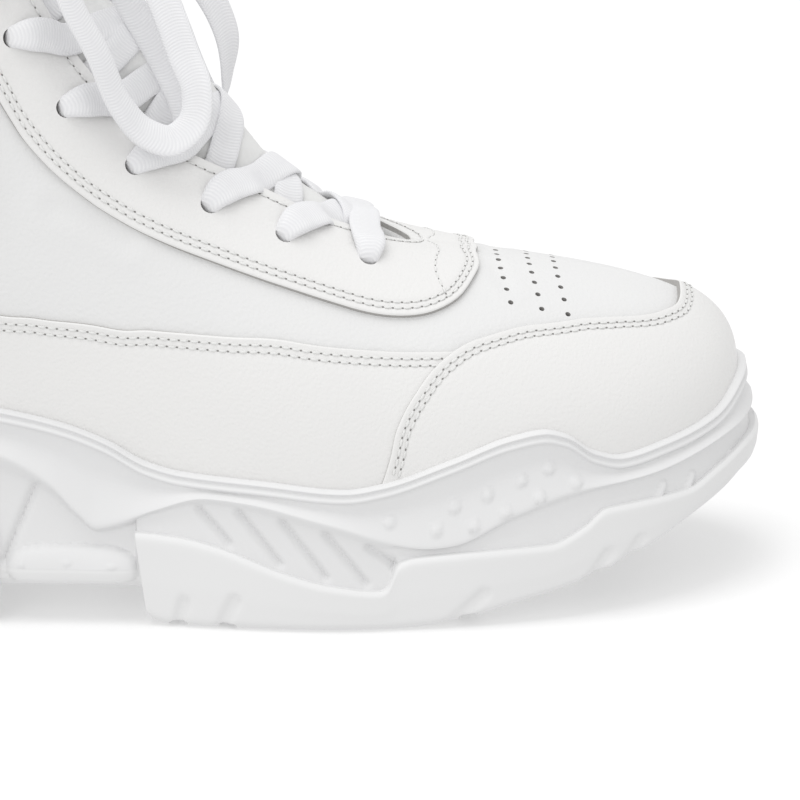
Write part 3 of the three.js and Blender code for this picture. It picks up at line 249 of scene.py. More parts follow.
def unit(vectors: Array) -> Array:
    """Vectors of length one along the last axis."""
    return vectors / np.maximum(np.linalg.norm(vectors, axis=-1, keepdims=True), 1e-12)


def run_along(points: Array) -> Array:
    """How far a chain of points has run at each of them."""
    steps = np.linalg.norm(np.diff(points, axis=0), axis=1)
    return np.concatenate([[0.0], np.cumsum(steps)])


def half_width(share: Array) -> Array:
    """Half the sole's width: heel, waist and ball levels joined by smooth steps, with two round ends."""
    waist = ease((share - 0.133) / 0.234)
    ball = ease((share - 0.383) / 0.284)
    body = (HEEL_WIDTH + (WAIST_WIDTH - HEEL_WIDTH) * waist + (BALL_WIDTH - WAIST_WIDTH) * ball) / 2
    back = np.clip((0.19 - share) / 0.19, 0, 1)
    front = np.clip((share - 0.68) / 0.32, 0, 1)
    heel_arc = np.maximum(0, 1 - back ** 2.3) ** (1 / 2.3)
    toe_arc = np.maximum(0, 1 - front ** 2.35) ** (1 / 2.35)
    return body * heel_arc * toe_arc


def swing(x: Array) -> Array:
    """How far the shoe's middle line swings to the inner side at x."""
    share = x / (SOLE_LENGTH / 2)
    waist = np.cos(np.clip(np.abs(share + 0.13) / 0.6, 0, 1) * math.pi / 2) ** 2
    toe = np.maximum(0, (share - 0.13) / 0.87) ** 2
    return TOE_SWING * toe - WAIST_SWING * waist


class Outline:
    """The sole's straightened outline, measured along its girth."""

    SAMPLES = 1600

    def __init__(self) -> None:
        """Samples the half outline closer together at heel and toe and adds up its length."""
        share = (1 - np.cos(math.pi * np.arange(self.SAMPLES + 1) / self.SAMPLES)) / 2
        self.x = SOLE_LENGTH * (share - 0.5)
        self.half = half_width(share)
        self.half[[0, -1]] = 0.0
        run = np.concatenate([[0.0], np.cumsum(np.hypot(np.diff(self.x), np.diff(self.half)))])
        self.girth = float(run[-1])
        self.run = run / self.girth
        middle = swing(self.x)
        self.sideways = float(((middle + self.half).max() - (self.half - middle).max()) / 2)

    def edge(self, turn: Array) -> Array:
        """Points of the straightened edge at turns, as x and y."""
        at = girth_share(turn)
        return np.stack([np.interp(at, self.run, self.x),
                         side_of(turn) * np.interp(at, self.run, self.half)], -1)

    def outward(self, turn: Array) -> Array:
        """The edge's outward direction: its tangent turned by a right angle."""
        along = self.edge(turn + SMALL_STEP) - self.edge(turn - SMALL_STEP)
        return unit(np.stack([along[..., 1], -along[..., 0]], -1))

    def bent(self, points: Array) -> Array:
        """Points of the straightened shoe, swung to its real curve."""
        out = np.array(points, dtype=float)
        out[..., 1] += swing(out[..., 0]) - self.sideways
        return out

    def wall(self, turn: Array, inset: Array, z: Array) -> Array:
        """Points that stand a distance inside the outline at a height."""
        place = self.edge(turn) - self.outward(turn) * np.asarray(inset)[..., None]
        x, y, z = np.broadcast_arrays(place[..., 0], place[..., 1], z)
        return self.bent(np.stack([x, y, z], -1))


def girth_share(turn: Array) -> Array:
    """The share of the way from heel to toe that a turn has on either side."""
    around = np.mod(turn, 2.0)
    return np.where(around <= 1, around, 2 - around)


def side_of(turn: Array) -> Array:
    """-1 on the outer side and 1 on the inner side."""
    return np.where(np.mod(turn, 2.0) <= 1, -1.0, 1.0)


OUTLINE = Outline()


def rise_point(turn: Array, rise: Array) -> Array:
    """The upper's outer surface: a cubic rise line at each turn, from the welt (0) to the top line (1).

    Args:
        turn: turns round the shoe.
        rise: shares of the rise line.

    Returns:
        Points in millimetres.
    """
    turn = np.asarray(turn, dtype=float)
    at = girth_share(turn)
    side = side_of(turn)
    out = OUTLINE.outward(turn)
    edge = OUTLINE.edge(turn) - out * (RIM_WALL + SEAT)
    long, wide = SOLE_LENGTH / 2, BALL_WIDTH / 2
    welt = np.concatenate([edge, (PLATFORM_HEIGHT * WELT.read("rise", at))[..., None]], -1)
    bulge = (long * RISE_PULL.read("out", at))[..., None]
    climb = (UPPER_HEIGHT * RISE_PULL.read("climb", at))[..., None]
    lower = welt + np.concatenate([out * bulge, climb], -1)
    top = np.stack([long * TOP_LINE.read("x", at), side * wide * TOP_LINE.read("half", at),
                    PLATFORM_HEIGHT + UPPER_HEIGHT * TOP_LINE.read("top", at)], -1)
    higher = top + np.stack([long * RISE_PULL.read("bowX", at), side * wide * RISE_PULL.read("bowY", at),
                             UPPER_HEIGHT * RISE_PULL.read("bowZ", at)], -1)
    t = np.asarray(rise, dtype=float)[..., None]
    low = 1 - t
    return OUTLINE.bent(low ** 3 * welt + 3 * low * low * t * lower + 3 * low * t * t * higher + t ** 3 * top)


def slopes(turn: Array, rise: Array) -> tuple[Array, Array]:
    """The surface's slopes along the turn and up the rise line, by small differences."""
    turn, rise = np.asarray(turn, dtype=float), np.asarray(rise, dtype=float)
    low, high = np.maximum(0, rise - SMALL_STEP), np.minimum(1, rise + SMALL_STEP)
    along = (rise_point(turn + SMALL_STEP, rise) - rise_point(turn - SMALL_STEP, rise)) / (2 * SMALL_STEP)
    up = (rise_point(turn, high) - rise_point(turn, low)) / (high - low)[..., None]
    return along, up


def face_direction(turn: Array, rise: Array) -> Array:
    """The surface's outward direction, square to both slopes."""
    along, up = slopes(turn, rise)
    return unit(np.cross(along, up))


def lifted(turn: Array, rise: Array, lift: Array) -> Array:
    """Points of the upper's surface moved outward by a lift."""
    return rise_point(turn, rise) + face_direction(turn, rise) * np.asarray(lift, dtype=float)[..., None]


def settle(points: Array, turn: Array, rise: Array) -> tuple[Array, Array]:
    """The places on the surface closest to points, by least-squares steps from a first guess."""
    for _ in range(6):
        along, up = slopes(turn, rise)
        miss = points - rise_point(turn, rise)
        aa, uu, au = (along * along).sum(-1), (up * up).sum(-1), (along * up).sum(-1)
        det = np.maximum(aa * uu - au * au, 1e-9 * aa * uu)
        a, u = (miss * along).sum(-1), (miss * up).sum(-1)
        turn = turn + (a * uu - u * au) / det
        rise = np.clip(rise + (u * aa - a * au) / det, 0, 1)
    return turn, rise


def walk(turn: Array, rise: Array, forward: Array, distance: Array) -> tuple[Array, Array]:
    """Walks on the surface square to a forward direction.

    Args:
        turn: turns of the starts.
        rise: rises of the starts.
        forward: direction that the line of starts runs in.
        distance: how far each start walks; the walk goes to the right of forward, seen from outside.

    Returns:
        Turns and rises of the ends.
    """
    steps = 4
    distance = np.broadcast_to(np.asarray(distance, dtype=float), np.shape(turn))
    for _ in range(steps):
        away = unit(np.cross(forward, face_direction(turn, rise)))
        turn, rise = settle(rise_point(turn, rise) + away * (distance / steps)[..., None], turn, rise)
    return turn, rise


class ThroatEdge:
    """The throat's edge, measured from its front over each side to the collar's front corner."""

    CORNER = 0.386
    STEPS = 240
    REACH = 36.0
    CROWD = 1.6
    LONG = 260
    WIDE = 60

    def __init__(self) -> None:
        """Adds up the edge's length on both sides and lays a fine net of places beside it."""
        at = mix(1.0, self.CORNER, np.linspace(0, 1, self.STEPS + 1))
        self.turns = {-1: at, 1: 2 - at}
        self.runs = {side: run_along(rise_point(turn, np.ones_like(turn)))
                     for side, turn in self.turns.items()}
        self.length = float(self.runs[1][-1])
        along = np.linspace(0, 1, self.LONG + 1) ** self.CROWD * self.length
        along, inward = np.meshgrid(along, np.linspace(0, self.REACH, self.WIDE + 1), indexing="ij")
        self.net = {side: self.walk_in(np.full(along.shape, side), along, inward) for side in (-1, 1)}

    def turn_at(self, side: Array, distance: Array) -> Array:
        """Turns at which the edge has run a distance from its front, on the side given for each."""
        side, distance = np.broadcast_arrays(side, distance)
        result = np.empty(distance.shape)
        for s in (-1, 1):
            runs, turns = self.runs[s], self.turns[s]
            k = np.clip(np.searchsorted(runs, distance, side="right") - 1, 0, self.STEPS - 1)
            t = (distance - runs[k]) / (runs[k + 1] - runs[k])
            result = np.where(side == s, mix(turns[k], turns[k + 1], t), result)
        return result

    def beside(self, side: Array, distance: Array, inward: Array) -> tuple[Array, Array]:
        """Places on the upper beside the edge, read from the net by blending its four nearest knots."""
        side, distance, inward = np.broadcast_arrays(side, distance, inward)
        u = np.clip(distance / self.length, 0, 1) ** (1 / self.CROWD) * self.LONG
        v = np.clip(inward / self.REACH, 0, 1) * self.WIDE
        i, j = np.minimum(u.astype(int), self.LONG - 1), np.minimum(v.astype(int), self.WIDE - 1)
        a, b = u - i, v - j
        found = []
        for outer, inner in zip(self.net[-1], self.net[1]):
            read = [(1 - a) * (1 - b) * net[i, j] + a * (1 - b) * net[i + 1, j] + (1 - a) * b * net[i, j + 1]
                    + a * b * net[i + 1, j + 1] for net in (outer, inner)]
            found.append(np.where(side < 0, *read))
        return found[0], found[1]

    def walk_in(self, side: Array, distance: Array, inward: Array) -> tuple[Array, Array]:
        """Places on the upper beside the edge, reached by walking straight away from it."""
        edge = self.turn_at(side, distance)
        edge, inward = np.broadcast_arrays(edge, inward)
        top = np.ones(edge.shape)
        forward = unit(rise_point(edge + SMALL_STEP, top) - rise_point(edge - SMALL_STEP, top))
        return walk(edge.astype(float), top, forward, inward)

    def lifted(self, side: Array, distance: Array, inward: Array, lift: Array) -> Array:
        """Points beside the edge, moved outward by a lift."""
        turn, rise = self.beside(side, distance, inward)
        return lifted(turn, rise, np.broadcast_to(lift, turn.shape))


THROAT = ThroatEdge()


def near_line(points: Array, line: Array) -> Array:
    """Shortest distance from each point to a chain of straight pieces, taken in blocks to spare memory."""
    flat = points.reshape(-1, points.shape[-1])
    a, d = line[:-1], np.diff(line, axis=0)
    dd = np.maximum((d * d).sum(-1), 1e-12)
    best = np.full(len(flat), np.inf)
    block = 4000
    for start in range(0, len(flat), block):
        p = flat[start:start + block, None, :] - a[None]
        t = np.clip((p * d).sum(-1) / dd, 0, 1)
        miss = p - t[..., None] * d
        best[start:start + block] = np.sqrt((miss * miss).sum(-1).min(1))
    return best.reshape(points.shape[:-1])


def smooth_path(keys: Sequence[Sequence[float]], count: int) -> Array:
    """An even chain of points on the smooth curve through keys, whose slopes are taken over chord lengths."""
    k = np.array(keys, dtype=float)
    chord = run_along(k[:, :3])
    slope = np.gradient(k, chord, axis=0)
    fine = np.linspace(0, chord[-1], 40 * len(k))
    i = np.clip(np.searchsorted(chord, fine, side="right") - 1, 0, len(k) - 2)
    h = (chord[i + 1] - chord[i])[:, None]
    t = ((fine - chord[i]) / h[:, 0])[:, None]
    curve = ((2 * t ** 3 - 3 * t ** 2 + 1) * k[i] + (t ** 3 - 2 * t ** 2 + t) * h * slope[i]
             + (3 * t ** 2 - 2 * t ** 3) * k[i + 1] + (t ** 3 - t ** 2) * h * slope[i + 1])
    run = run_along(curve[:, :3])
    even = np.linspace(0, run[-1], count)
    return np.stack([np.interp(even, run, curve[:, c]) for c in range(curve.shape[1])], -1)


@dataclass
class Skin:
    """Points and faces of a mesh in the making, with a material number for each face."""

    points: list[Array] = field(default_factory=list)
    quads: list[Array] = field(default_factory=list)
    quad_slots: list[Array] = field(default_factory=list)
    triangles: list[Array] = field(default_factory=list)
    triangle_slots: list[Array] = field(default_factory=list)
    uvs: list[Array] = field(default_factory=list)
    count: int = 0

    def add_points(self, points: Array) -> int:
        """Adds points and returns the number of the first."""
        first = self.count
        flat = np.asarray(points, dtype=float).reshape(-1, 3)
        self.points.append(flat)
        self.count += len(flat)
        return first

    def add_quads(self, quads: Array, slot: int = 0, uv: Array | None = None) -> None:
        """Adds four-sided faces with one material number, and their corners' places on the flat cloth."""
        flat = np.asarray(quads).reshape(-1, 4)
        self.quads.append(flat)
        self.quad_slots.append(np.full(len(flat), slot))
        self.uvs.append(np.zeros((len(flat), 4, 2)) if uv is None else uv.reshape(-1, 4, 2))

    def add_triangles(self, triangles: Array, slot: int = 0) -> None:
        """Adds three-sided faces with one material number."""
        flat = np.asarray(triangles).reshape(-1, 3)
        self.triangles.append(flat)
        self.triangle_slots.append(np.full(len(flat), slot))

    def grid(self, points: Array, slot: int = 0, wrap: bool = False, flip: bool = False) -> Array:
        """Adds a sheet of points, rows by columns, and returns its point numbers."""
        rows, columns = points.shape[:2]
        numbers = self.add_points(points) + np.arange(rows * columns).reshape(rows, columns)
        self.join(numbers, slot, wrap, flip)
        return numbers

    def join(self, numbers: Array, slot: int = 0, wrap: bool = False, flip: bool = False) -> None:
        """Adds the faces between neighbours of a sheet of point numbers; wrap closes it to a tube."""
        around = np.concatenate([numbers, numbers[:, :1]], 1) if wrap else numbers
        a, b = around[:-1, :-1], around[:-1, 1:]
        c, d = around[1:, 1:], around[1:, :-1]
        order = [a, d, c, b] if flip else [a, b, c, d]
        self.add_quads(np.stack(order, -1), slot)

    def fan(self, ring: Array, hub: Array, flip: bool = False, slot: int = 0) -> None:
        """Closes a ring of point numbers with triangles round one more point."""
        after = np.roll(ring, -1)
        corners = [after, ring] if flip else [ring, after]
        middle = np.full(len(ring), self.add_points(hub))
        self.add_triangles(np.stack([middle, *corners], -1), slot)

    def build(self, name: str, materials: Sequence[bpy.types.Material],
              angle: float = 40.0) -> bpy.types.Object:
        """Makes the mesh and its object, smooth but for edges sharper than an angle, with faces pointing out.

        Args:
            name: the piece's name.
            materials: its materials, by number.
            angle: degrees past which an edge stays sharp.

        Returns:
            The object, at the origin.
        """
        points = np.concatenate(self.points) * MM
        quads = np.concatenate(self.quads)
        triangles = np.concatenate(self.triangles) if self.triangles else np.zeros((0, 3), dtype=int)
        slots = np.concatenate(self.quad_slots + self.triangle_slots)
        p = points[np.concatenate([quads[:, [0, 1, 2]], quads[:, [0, 2, 3]], triangles])]
        turned = (p[:, 0] * np.cross(p[:, 1], p[:, 2])).sum() < 0
        uv = np.concatenate(self.uvs)
        if turned:
            quads, triangles, uv = quads[:, ::-1], triangles[:, ::-1], uv[:, ::-1]
        mesh = bpy.data.meshes.new(name)
        mesh.from_pydata(points.tolist(), [], quads.tolist() + triangles.tolist())
        for material in materials:
            mesh.materials.append(material)
        mesh.polygons.foreach_set("material_index", slots.astype(np.int32))
        layer = mesh.uv_layers.new(name="cloth")
        rest = np.zeros((len(triangles) * 3, 2))
        layer.data.foreach_set("uv", np.concatenate([uv.reshape(-1, 2), rest]).astype(np.float32).ravel())
        finish_mesh(mesh, angle)
        piece = bpy.data.objects.new(name, mesh)
        bpy.context.scene.collection.objects.link(piece)
        return piece


def finish_mesh(mesh: bpy.types.Mesh, angle: float) -> None:
    """Checks a mesh and shades it smooth but for its sharp edges."""
    mesh.validate()
    mesh.shade_smooth()
    mesh.set_sharp_from_angle(angle=math.radians(angle))
    mesh.update()


def close_ring(skin: Skin, ring: Array, places: Array, rungs: int, drop: Array | None = None) -> Array:
    """Closes a ring round the shoe by straight rungs from its outer to its inner side.

    Args:
        skin: the mesh in the making.
        ring: point numbers of the ring, starting at the heel.
        places: the ring's points.
        rungs: pieces that each rung is cut into.
        drop: how far the points within rise at each place, by a function's result, or none.

    Returns:
        The points within, rungs by cuts, for a relief.
    """
    half = len(ring) // 2
    near = np.arange(1, half)
    far = len(ring) - near
    share = np.arange(1, rungs) / rungs
    inner = mix(places[near][:, None], places[far][:, None], share[None, :, None])
    if drop is not None:
        inner[..., 2] += drop(inner)
    numbers = skin.add_points(inner) + np.arange(inner.shape[0] * inner.shape[1]).reshape(inner.shape[:2])
    whole = np.concatenate([ring[near][:, None], numbers, ring[far][:, None]], 1)
    skin.join(whole)
    skin.add_triangles(np.stack([np.full(rungs, ring[0]), whole[0, 1:], whole[0, :-1]], -1))
    skin.add_triangles(np.stack([np.full(rungs, ring[half]), whole[-1, :-1], whole[-1, 1:]], -1))
    return inner


class Node:
    """Short calls for making shader nodes in a tree."""

    def __init__(self, tree: bpy.types.NodeTree) -> None:
        """Keeps the tree."""
        self.tree = tree

    def add(self, kind: str, links: dict | None = None, **settings: object) -> bpy.types.Node:
        """Adds a node, sets its properties and feeds its inputs.

        Args:
            kind: the node's type name.
            links: input name or number to a socket or a plain value.
            settings: the node's own properties.

        Returns:
            The node.
        """
        node = self.tree.nodes.new(kind)
        for key, value in settings.items():
            setattr(node, key, value)
        for key, value in (links or {}).items():
            if isinstance(value, bpy.types.NodeSocket):
                self.tree.links.new(value, node.inputs[key])
            else:
                node.inputs[key].default_value = value
        return node

    def math(self, how: str, a: object, b: object = 0.0, c: object = 0.0) -> bpy.types.NodeSocket:
        """The result of one sum on one, two or three values."""
        return self.add("ShaderNodeMath", {0: a, 1: b, 2: c}, operation=how).outputs[0]


    def noise(self, place: bpy.types.NodeSocket, scale: object, detail: float) -> bpy.types.NodeSocket:
        """Cloudy noise at a place."""
        given = {"Vector": place, "Scale": scale, "Detail": detail}
        return self.add("ShaderNodeTexNoise", given).outputs["Fac"]

    def tint(self, share: bpy.types.NodeSocket, low: Sequence[float],
             high: Sequence[float]) -> bpy.types.NodeSocket:
        """A colour between two, by a share."""
        given = {"Factor": share, 6: (*low, 1), 7: (*high, 1)}
        return self.add("ShaderNodeMix", given, data_type="RGBA").outputs[2]

    def spread(self, share: bpy.types.NodeSocket, low: float, high: float) -> bpy.types.NodeSocket:
        """A share stretched to run between two values."""
        return self.add("ShaderNodeMapRange", {0: share, 3: low, 4: high}).outputs[0]

    def feed(self, shader: bpy.types.Node, color: bpy.types.NodeSocket, rough: bpy.types.NodeSocket,
             height: bpy.types.NodeSocket, bump: tuple[float, float], specular: float) -> None:
        """Feeds a Principled shader.

        Args:
            shader: the shader.
            color: its colour.
            rough: its roughness.
            height: the relief of its bump.
            bump: the bump's strength and its distance in metres.
            specular: its specular level, set as a plain value.
        """
        relief = self.add("ShaderNodeBump", {"Strength": bump[0], "Distance": bump[1], "Height": height})
        self.tree.links.new(color, shader.inputs["Base Color"])
        self.tree.links.new(rough, shader.inputs["Roughness"])
        self.tree.links.new(relief.outputs[0], shader.inputs["Normal"])
        shader.inputs["Specular IOR Level"].default_value = specular


def make_group(name: str, inputs: dict[str, tuple[str, object]], outputs: dict[str, str]
               ) -> tuple[bpy.types.NodeTree, Node, bpy.types.Node, bpy.types.Node]:
    """Makes an empty shader node group with named sockets.

    Args:
        name: the group's name.
        inputs: socket name to its type and value.
        outputs: socket name to its type.

    Returns:
        The group, its node maker, its input node and its output node.
    """
    group = bpy.data.node_groups.new(name, "ShaderNodeTree")
    for key, (kind, value) in inputs.items():
        socket = group.interface.new_socket(name=key, in_out="INPUT", socket_type=kind)
        if value is not None:
            socket.default_value = value
    for key, kind in outputs.items():
        group.interface.new_socket(name=key, in_out="OUTPUT", socket_type=kind)
    return group, Node(group), group.nodes.new("NodeGroupInput"), group.nodes.new("NodeGroupOutput")


def grain_group() -> bpy.types.NodeTree:
    """Leather grain: small soft cells broken by noise, and a slow mottle for colour and gloss."""
    group, n, given, result = make_group(
        "leather grain",
        {"Vector": ("NodeSocketVector", None), "Cell Scale": ("NodeSocketFloat", 900.0),
         "Mottle Scale": ("NodeSocketFloat", 30.0)},
        {"Height": "NodeSocketFloat", "Mottle": "NodeSocketFloat"})
    place = given.outputs["Vector"]
    warp = n.add("ShaderNodeTexNoise", {"Vector": place, "Scale": 260.0, "Detail": 2.0})
    moved = n.add("ShaderNodeVectorMath", {0: warp.outputs["Color"], 1: (0.0012, 0.0012, 0.0012)},
                  operation="MULTIPLY")
    where = n.add("ShaderNodeVectorMath", {0: place, 1: moved.outputs[0]}, operation="ADD")
    cells = n.add("ShaderNodeTexVoronoi", {"Vector": where.outputs[0], "Scale": given.outputs["Cell Scale"]},
                  feature="SMOOTH_F1")
    fine = n.noise(place, 1500.0, 3.0)
    slow = n.noise(place, given.outputs["Mottle Scale"], 3.0)
    cell = n.math("MULTIPLY", cells.outputs["Distance"], 0.7)
    height = n.math("ADD", cell, n.math("MULTIPLY", fine, 0.45))
    group.links.new(height, result.inputs["Height"])
    group.links.new(slow, result.inputs["Mottle"])
    return group


def moulding_group() -> bpy.types.NodeTree:
    """Moulded rubber: a very fine even pitting and slow cloudy patches."""
    group, n, given, result = make_group(
        "moulded skin",
        {"Vector": ("NodeSocketVector", None), "Pitting Scale": ("NodeSocketFloat", 2200.0)},
        {"Height": "NodeSocketFloat", "Cloud": "NodeSocketFloat"})
    place = given.outputs["Vector"]
    pits, waves = (n.math("MULTIPLY", n.noise(place, scale, 2.0), 0.5)
                   for scale in (given.outputs["Pitting Scale"], 180.0))
    group.links.new(n.math("ADD", pits, waves), result.inputs["Height"])
    group.links.new(n.noise(place, 22.0, 4.0), result.inputs["Cloud"])
    return group


def braid_group() -> bpy.types.NodeTree:
    """Flat braid on the cloth's own map: slanted yarns whose slant turns over from rib to rib.

    The height is a sine along the lace, shifted by a zigzag across it, with a gap between the ribs; the
    second output, the height turned over, is painted shade for the colour.
    """
    group, n, given, result = make_group(
        "flat braid",
        {"Along": ("NodeSocketFloat", 0.0), "Across": ("NodeSocketFloat", 0.0),
         "Yarn": ("NodeSocketFloat", 0.8), "Rib": ("NodeSocketFloat", 2.4)},
        {"Height": "NodeSocketFloat", "Painted Gap Shade": "NodeSocketFloat"})
    ribs = n.math("DIVIDE", given.outputs["Across"], given.outputs["Rib"])
    zigzag = n.math("PINGPONG", ribs, 1.0)
    phase = n.math("ADD", n.math("DIVIDE", given.outputs["Along"], given.outputs["Yarn"]),
                   n.math("MULTIPLY", zigzag, 1.1))
    wave = n.math("SINE", n.math("MULTIPLY", phase, 2 * math.pi))
    yarn = n.math("MULTIPLY_ADD", wave, 0.5, 0.5)
    rib = n.math("PINGPONG", n.math("MULTIPLY", ribs, 2.0), 1.0)
    height = n.math("MULTIPLY", yarn, n.math("MULTIPLY_ADD", rib, 0.5, 0.5))
    group.links.new(height, result.inputs["Height"])
    # Painted shade: the height turned over, which darkens the colour between the yarns.
    group.links.new(n.math("SUBTRACT", 1.0, height), result.inputs["Painted Gap Shade"])
    return group


def weave_group() -> bpy.types.NodeTree:
    """Plain weave in three directions of space: two crossed sines make the threads' tops."""
    group, n, given, result = make_group(
        "plain weave", {"Vector": ("NodeSocketVector", None), "Threads": ("NodeSocketFloat", 900.0)},
        {"Height": "NodeSocketFloat"})
    part = n.add("ShaderNodeSeparateXYZ", {0: given.outputs["Vector"]})
    waves = [n.math("SINE", n.math("MULTIPLY", n.math("MULTIPLY", part.outputs[i], given.outputs["Threads"]),
                                   2 * math.pi)) for i in range(3)]
    crossed = n.math("MULTIPLY", n.math("ADD", waves[0], waves[2]), waves[1])
    group.links.new(n.math("MULTIPLY_ADD", crossed, 0.25, 0.5), result.inputs["Height"])
    return group


@dataclass(frozen=True)
class Leather:
    """Smooth coloured leather: fine grain, a slow mottle in colour and gloss."""

    name: str
    color: tuple[float, float, float]
    shade: tuple[float, float, float]
    roughness: float = 0.44
    cell_scale: float = 1000.0
    depth: float = 0.0003
    strength: float = 0.4

    def make(self, groups: dict[str, bpy.types.NodeTree]) -> bpy.types.Material:
        """Builds the material."""
        material, n, shader = new_material(self.name)
        place = n.add("ShaderNodeTexCoord").outputs["Object"]
        grain = n.add("ShaderNodeGroup", node_tree=groups["grain"])
        n.tree.links.new(place, grain.inputs["Vector"])
        grain.inputs["Cell Scale"].default_value = self.cell_scale
        mottle = grain.outputs["Mottle"]
        n.feed(shader, n.tint(mottle, self.shade, self.color),
               n.spread(mottle, self.roughness - 0.06, self.roughness + 0.08),
               grain.outputs["Height"], (self.strength, self.depth), 0.4)
        return material


@dataclass(frozen=True)
class Moulding:
    """Matt moulded rubber or foam."""

    name: str
    color: tuple[float, float, float]
    shade: tuple[float, float, float]
    roughness: float = 0.56
    depth: float = 0.00012
    strength: float = 0.2

    def make(self, groups: dict[str, bpy.types.NodeTree]) -> bpy.types.Material:
        """Builds the material."""
        material, n, shader = new_material(self.name)
        place = n.add("ShaderNodeTexCoord").outputs["Object"]
        skin = n.add("ShaderNodeGroup", node_tree=groups["moulding"])
        n.tree.links.new(place, skin.inputs["Vector"])
        cloud = skin.outputs["Cloud"]
        n.feed(shader, n.tint(cloud, self.shade, self.color),
               n.spread(cloud, self.roughness - 0.05, self.roughness + 0.07),
               skin.outputs["Height"], (self.strength, self.depth), 0.35)
        return material


@dataclass(frozen=True)
class Braid:
    """Flat cotton braid for laces, its colour darkened between the yarns as painted shade."""

    name: str
    color: tuple[float, float, float]
    # the darker colour is painted shade, used where the braid is low between its yarns
    shade: tuple[float, float, float]

    def make(self, groups: dict[str, bpy.types.NodeTree]) -> bpy.types.Material:
        """Builds the material on the cloth's own map, in millimetres."""
        material, n, shader = new_material(self.name)
        uv = n.add("ShaderNodeUVMap", uv_map="cloth")
        part = n.add("ShaderNodeSeparateXYZ", {0: uv.outputs[0]})
        braid = n.add("ShaderNodeGroup", node_tree=groups["braid"])
        n.tree.links.new(part.outputs[0], braid.inputs["Along"])
        n.tree.links.new(part.outputs[1], braid.inputs["Across"])
        fuzz = n.noise(n.add("ShaderNodeTexCoord").outputs["Object"], 3200.0, 3.0)
        height = n.math("ADD", braid.outputs["Height"], n.math("MULTIPLY", fuzz, 0.35))
        # Painted shade: the colour runs to the darker one where the braid is low.
        n.feed(shader, n.tint(braid.outputs["Painted Gap Shade"], self.color, self.shade), n.spread(fuzz, 0.8, 0.95),
               height, (0.4, 0.00018), 0.2)
        shader.inputs["Sheen Weight"].default_value = 0.15
        return material


@dataclass(frozen=True)
class Fibre:
    """A rough fibrous finish: cut leather edges, lining cloth, thread, or the painted shade of a needle hole.
    """

    name: str
    color: tuple[float, float, float]
    shade: tuple[float, float, float]
    scale: float = 1400.0
    roughness: float = 0.9
    woven: bool = False

    def make(self, groups: dict[str, bpy.types.NodeTree]) -> bpy.types.Material:
        """Builds the material."""
        material, n, shader = new_material(self.name)
        place = n.add("ShaderNodeTexCoord").outputs["Object"]
        height = fuzz = n.noise(place, self.scale, 4.0)
        if self.woven:
            weave = n.add("ShaderNodeGroup", node_tree=groups["weave"])
            n.tree.links.new(place, weave.inputs["Vector"])
            height = n.math("MULTIPLY_ADD", weave.outputs["Height"], 0.8, n.math("MULTIPLY", height, 0.3))
        n.feed(shader, n.tint(fuzz, self.shade, self.color),
               n.spread(fuzz, self.roughness - 0.08, min(1.0, self.roughness + 0.06)),
               height, (0.5, 0.0002), 0.15)
        return material


def new_material(name: str) -> tuple[bpy.types.Material, Node, bpy.types.Node]:
    """A fresh material with its node maker and its Principled shader."""
    material = bpy.data.materials.new(name)
    material.use_nodes = True
    tree = material.node_tree
    return material, Node(tree), tree.nodes["Principled BSDF"]


class Finish(Enum):
    """The finishes of the shoe."""

    UPPER = Leather("white smooth leather", (0.80, 0.80, 0.795), (0.765, 0.765, 0.765))
    OVERLAY = Leather("white overlay leather", (0.815, 0.81, 0.80), (0.79, 0.785, 0.777), cell_scale=1150.0)
    TONGUE = Leather("soft tongue leather", (0.80, 0.80, 0.79), (0.76, 0.76, 0.755), roughness=0.55)
    SOLE = Moulding("white moulded midsole", (0.79, 0.79, 0.79), (0.76, 0.76, 0.765))
    TREAD = Moulding("white moulded outsole", (0.82, 0.82, 0.82), (0.79, 0.79, 0.79), roughness=0.6)
    EDGE = Fibre("cut leather edge", (0.5, 0.49, 0.475), (0.36, 0.35, 0.34), scale=2600.0)
    LINING = Fibre("white lining cloth", (0.78, 0.78, 0.76), (0.66, 0.66, 0.65), woven=True)
    INSOLE = Fibre("pale insole cloth", (0.74, 0.74, 0.72), (0.62, 0.62, 0.6), woven=True)
    THREAD = Fibre("white sewing thread", (0.84, 0.84, 0.83), (0.74, 0.74, 0.73), scale=4200.0, roughness=0.7)
    # Dark colour standing in for the shadow inside a needle hole: painted shade.
    NEEDLE = Fibre("needle hole", (0.30, 0.29, 0.28), (0.2, 0.195, 0.19), scale=3000.0)
    # The lace's second colour is painted shade for the low places between its yarns.
    LACE = Braid("white flat braid", (0.86, 0.86, 0.87), (0.78, 0.78, 0.795))


class Wardrobe:
    """All finishes, built once."""

    def __init__(self) -> None:
        """Builds the groups and the materials."""
        groups = {"grain": grain_group(), "moulding": moulding_group(), "braid": braid_group(),
                  "weave": weave_group()}
        self.made = {finish: finish.value.make(groups) for finish in Finish}

    def pick(self, *finishes: Finish) -> list[bpy.types.Material]:
        """The materials of some finishes, in order."""
        return [self.made[finish] for finish in finishes]


def dress(piece: bpy.types.Object, slot: str, *nodes: str) -> bpy.types.Object:
    """Lets a piece ride on the shoe and stand for its solids, which are hidden."""
    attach(piece, "root")
    if nodes:
        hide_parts(*nodes)
    LOG.info("%s: %d faces", piece.name, len(piece.data.polygons))
    return piece


def sampled(keys: Sequence[Array], counts: Sequence[int]) -> Array:
    """Rows on straight pieces between key rows, then softened once so that corners are small rounds.

    Args:
        keys: the key rows, each an array of points.
        counts: how many rows each piece is cut into.

    Returns:
        Rows by points.
    """
    rows = [mix(keys[i], keys[i + 1], s) for i, count in enumerate(counts) for s in np.arange(count) / count]
    stack = np.array(rows + [keys[-1]])
    for _ in range(2):
        stack[1:-1] = (stack[:-2] + 2 * stack[1:-1] + stack[2:]) / 4
    return stack


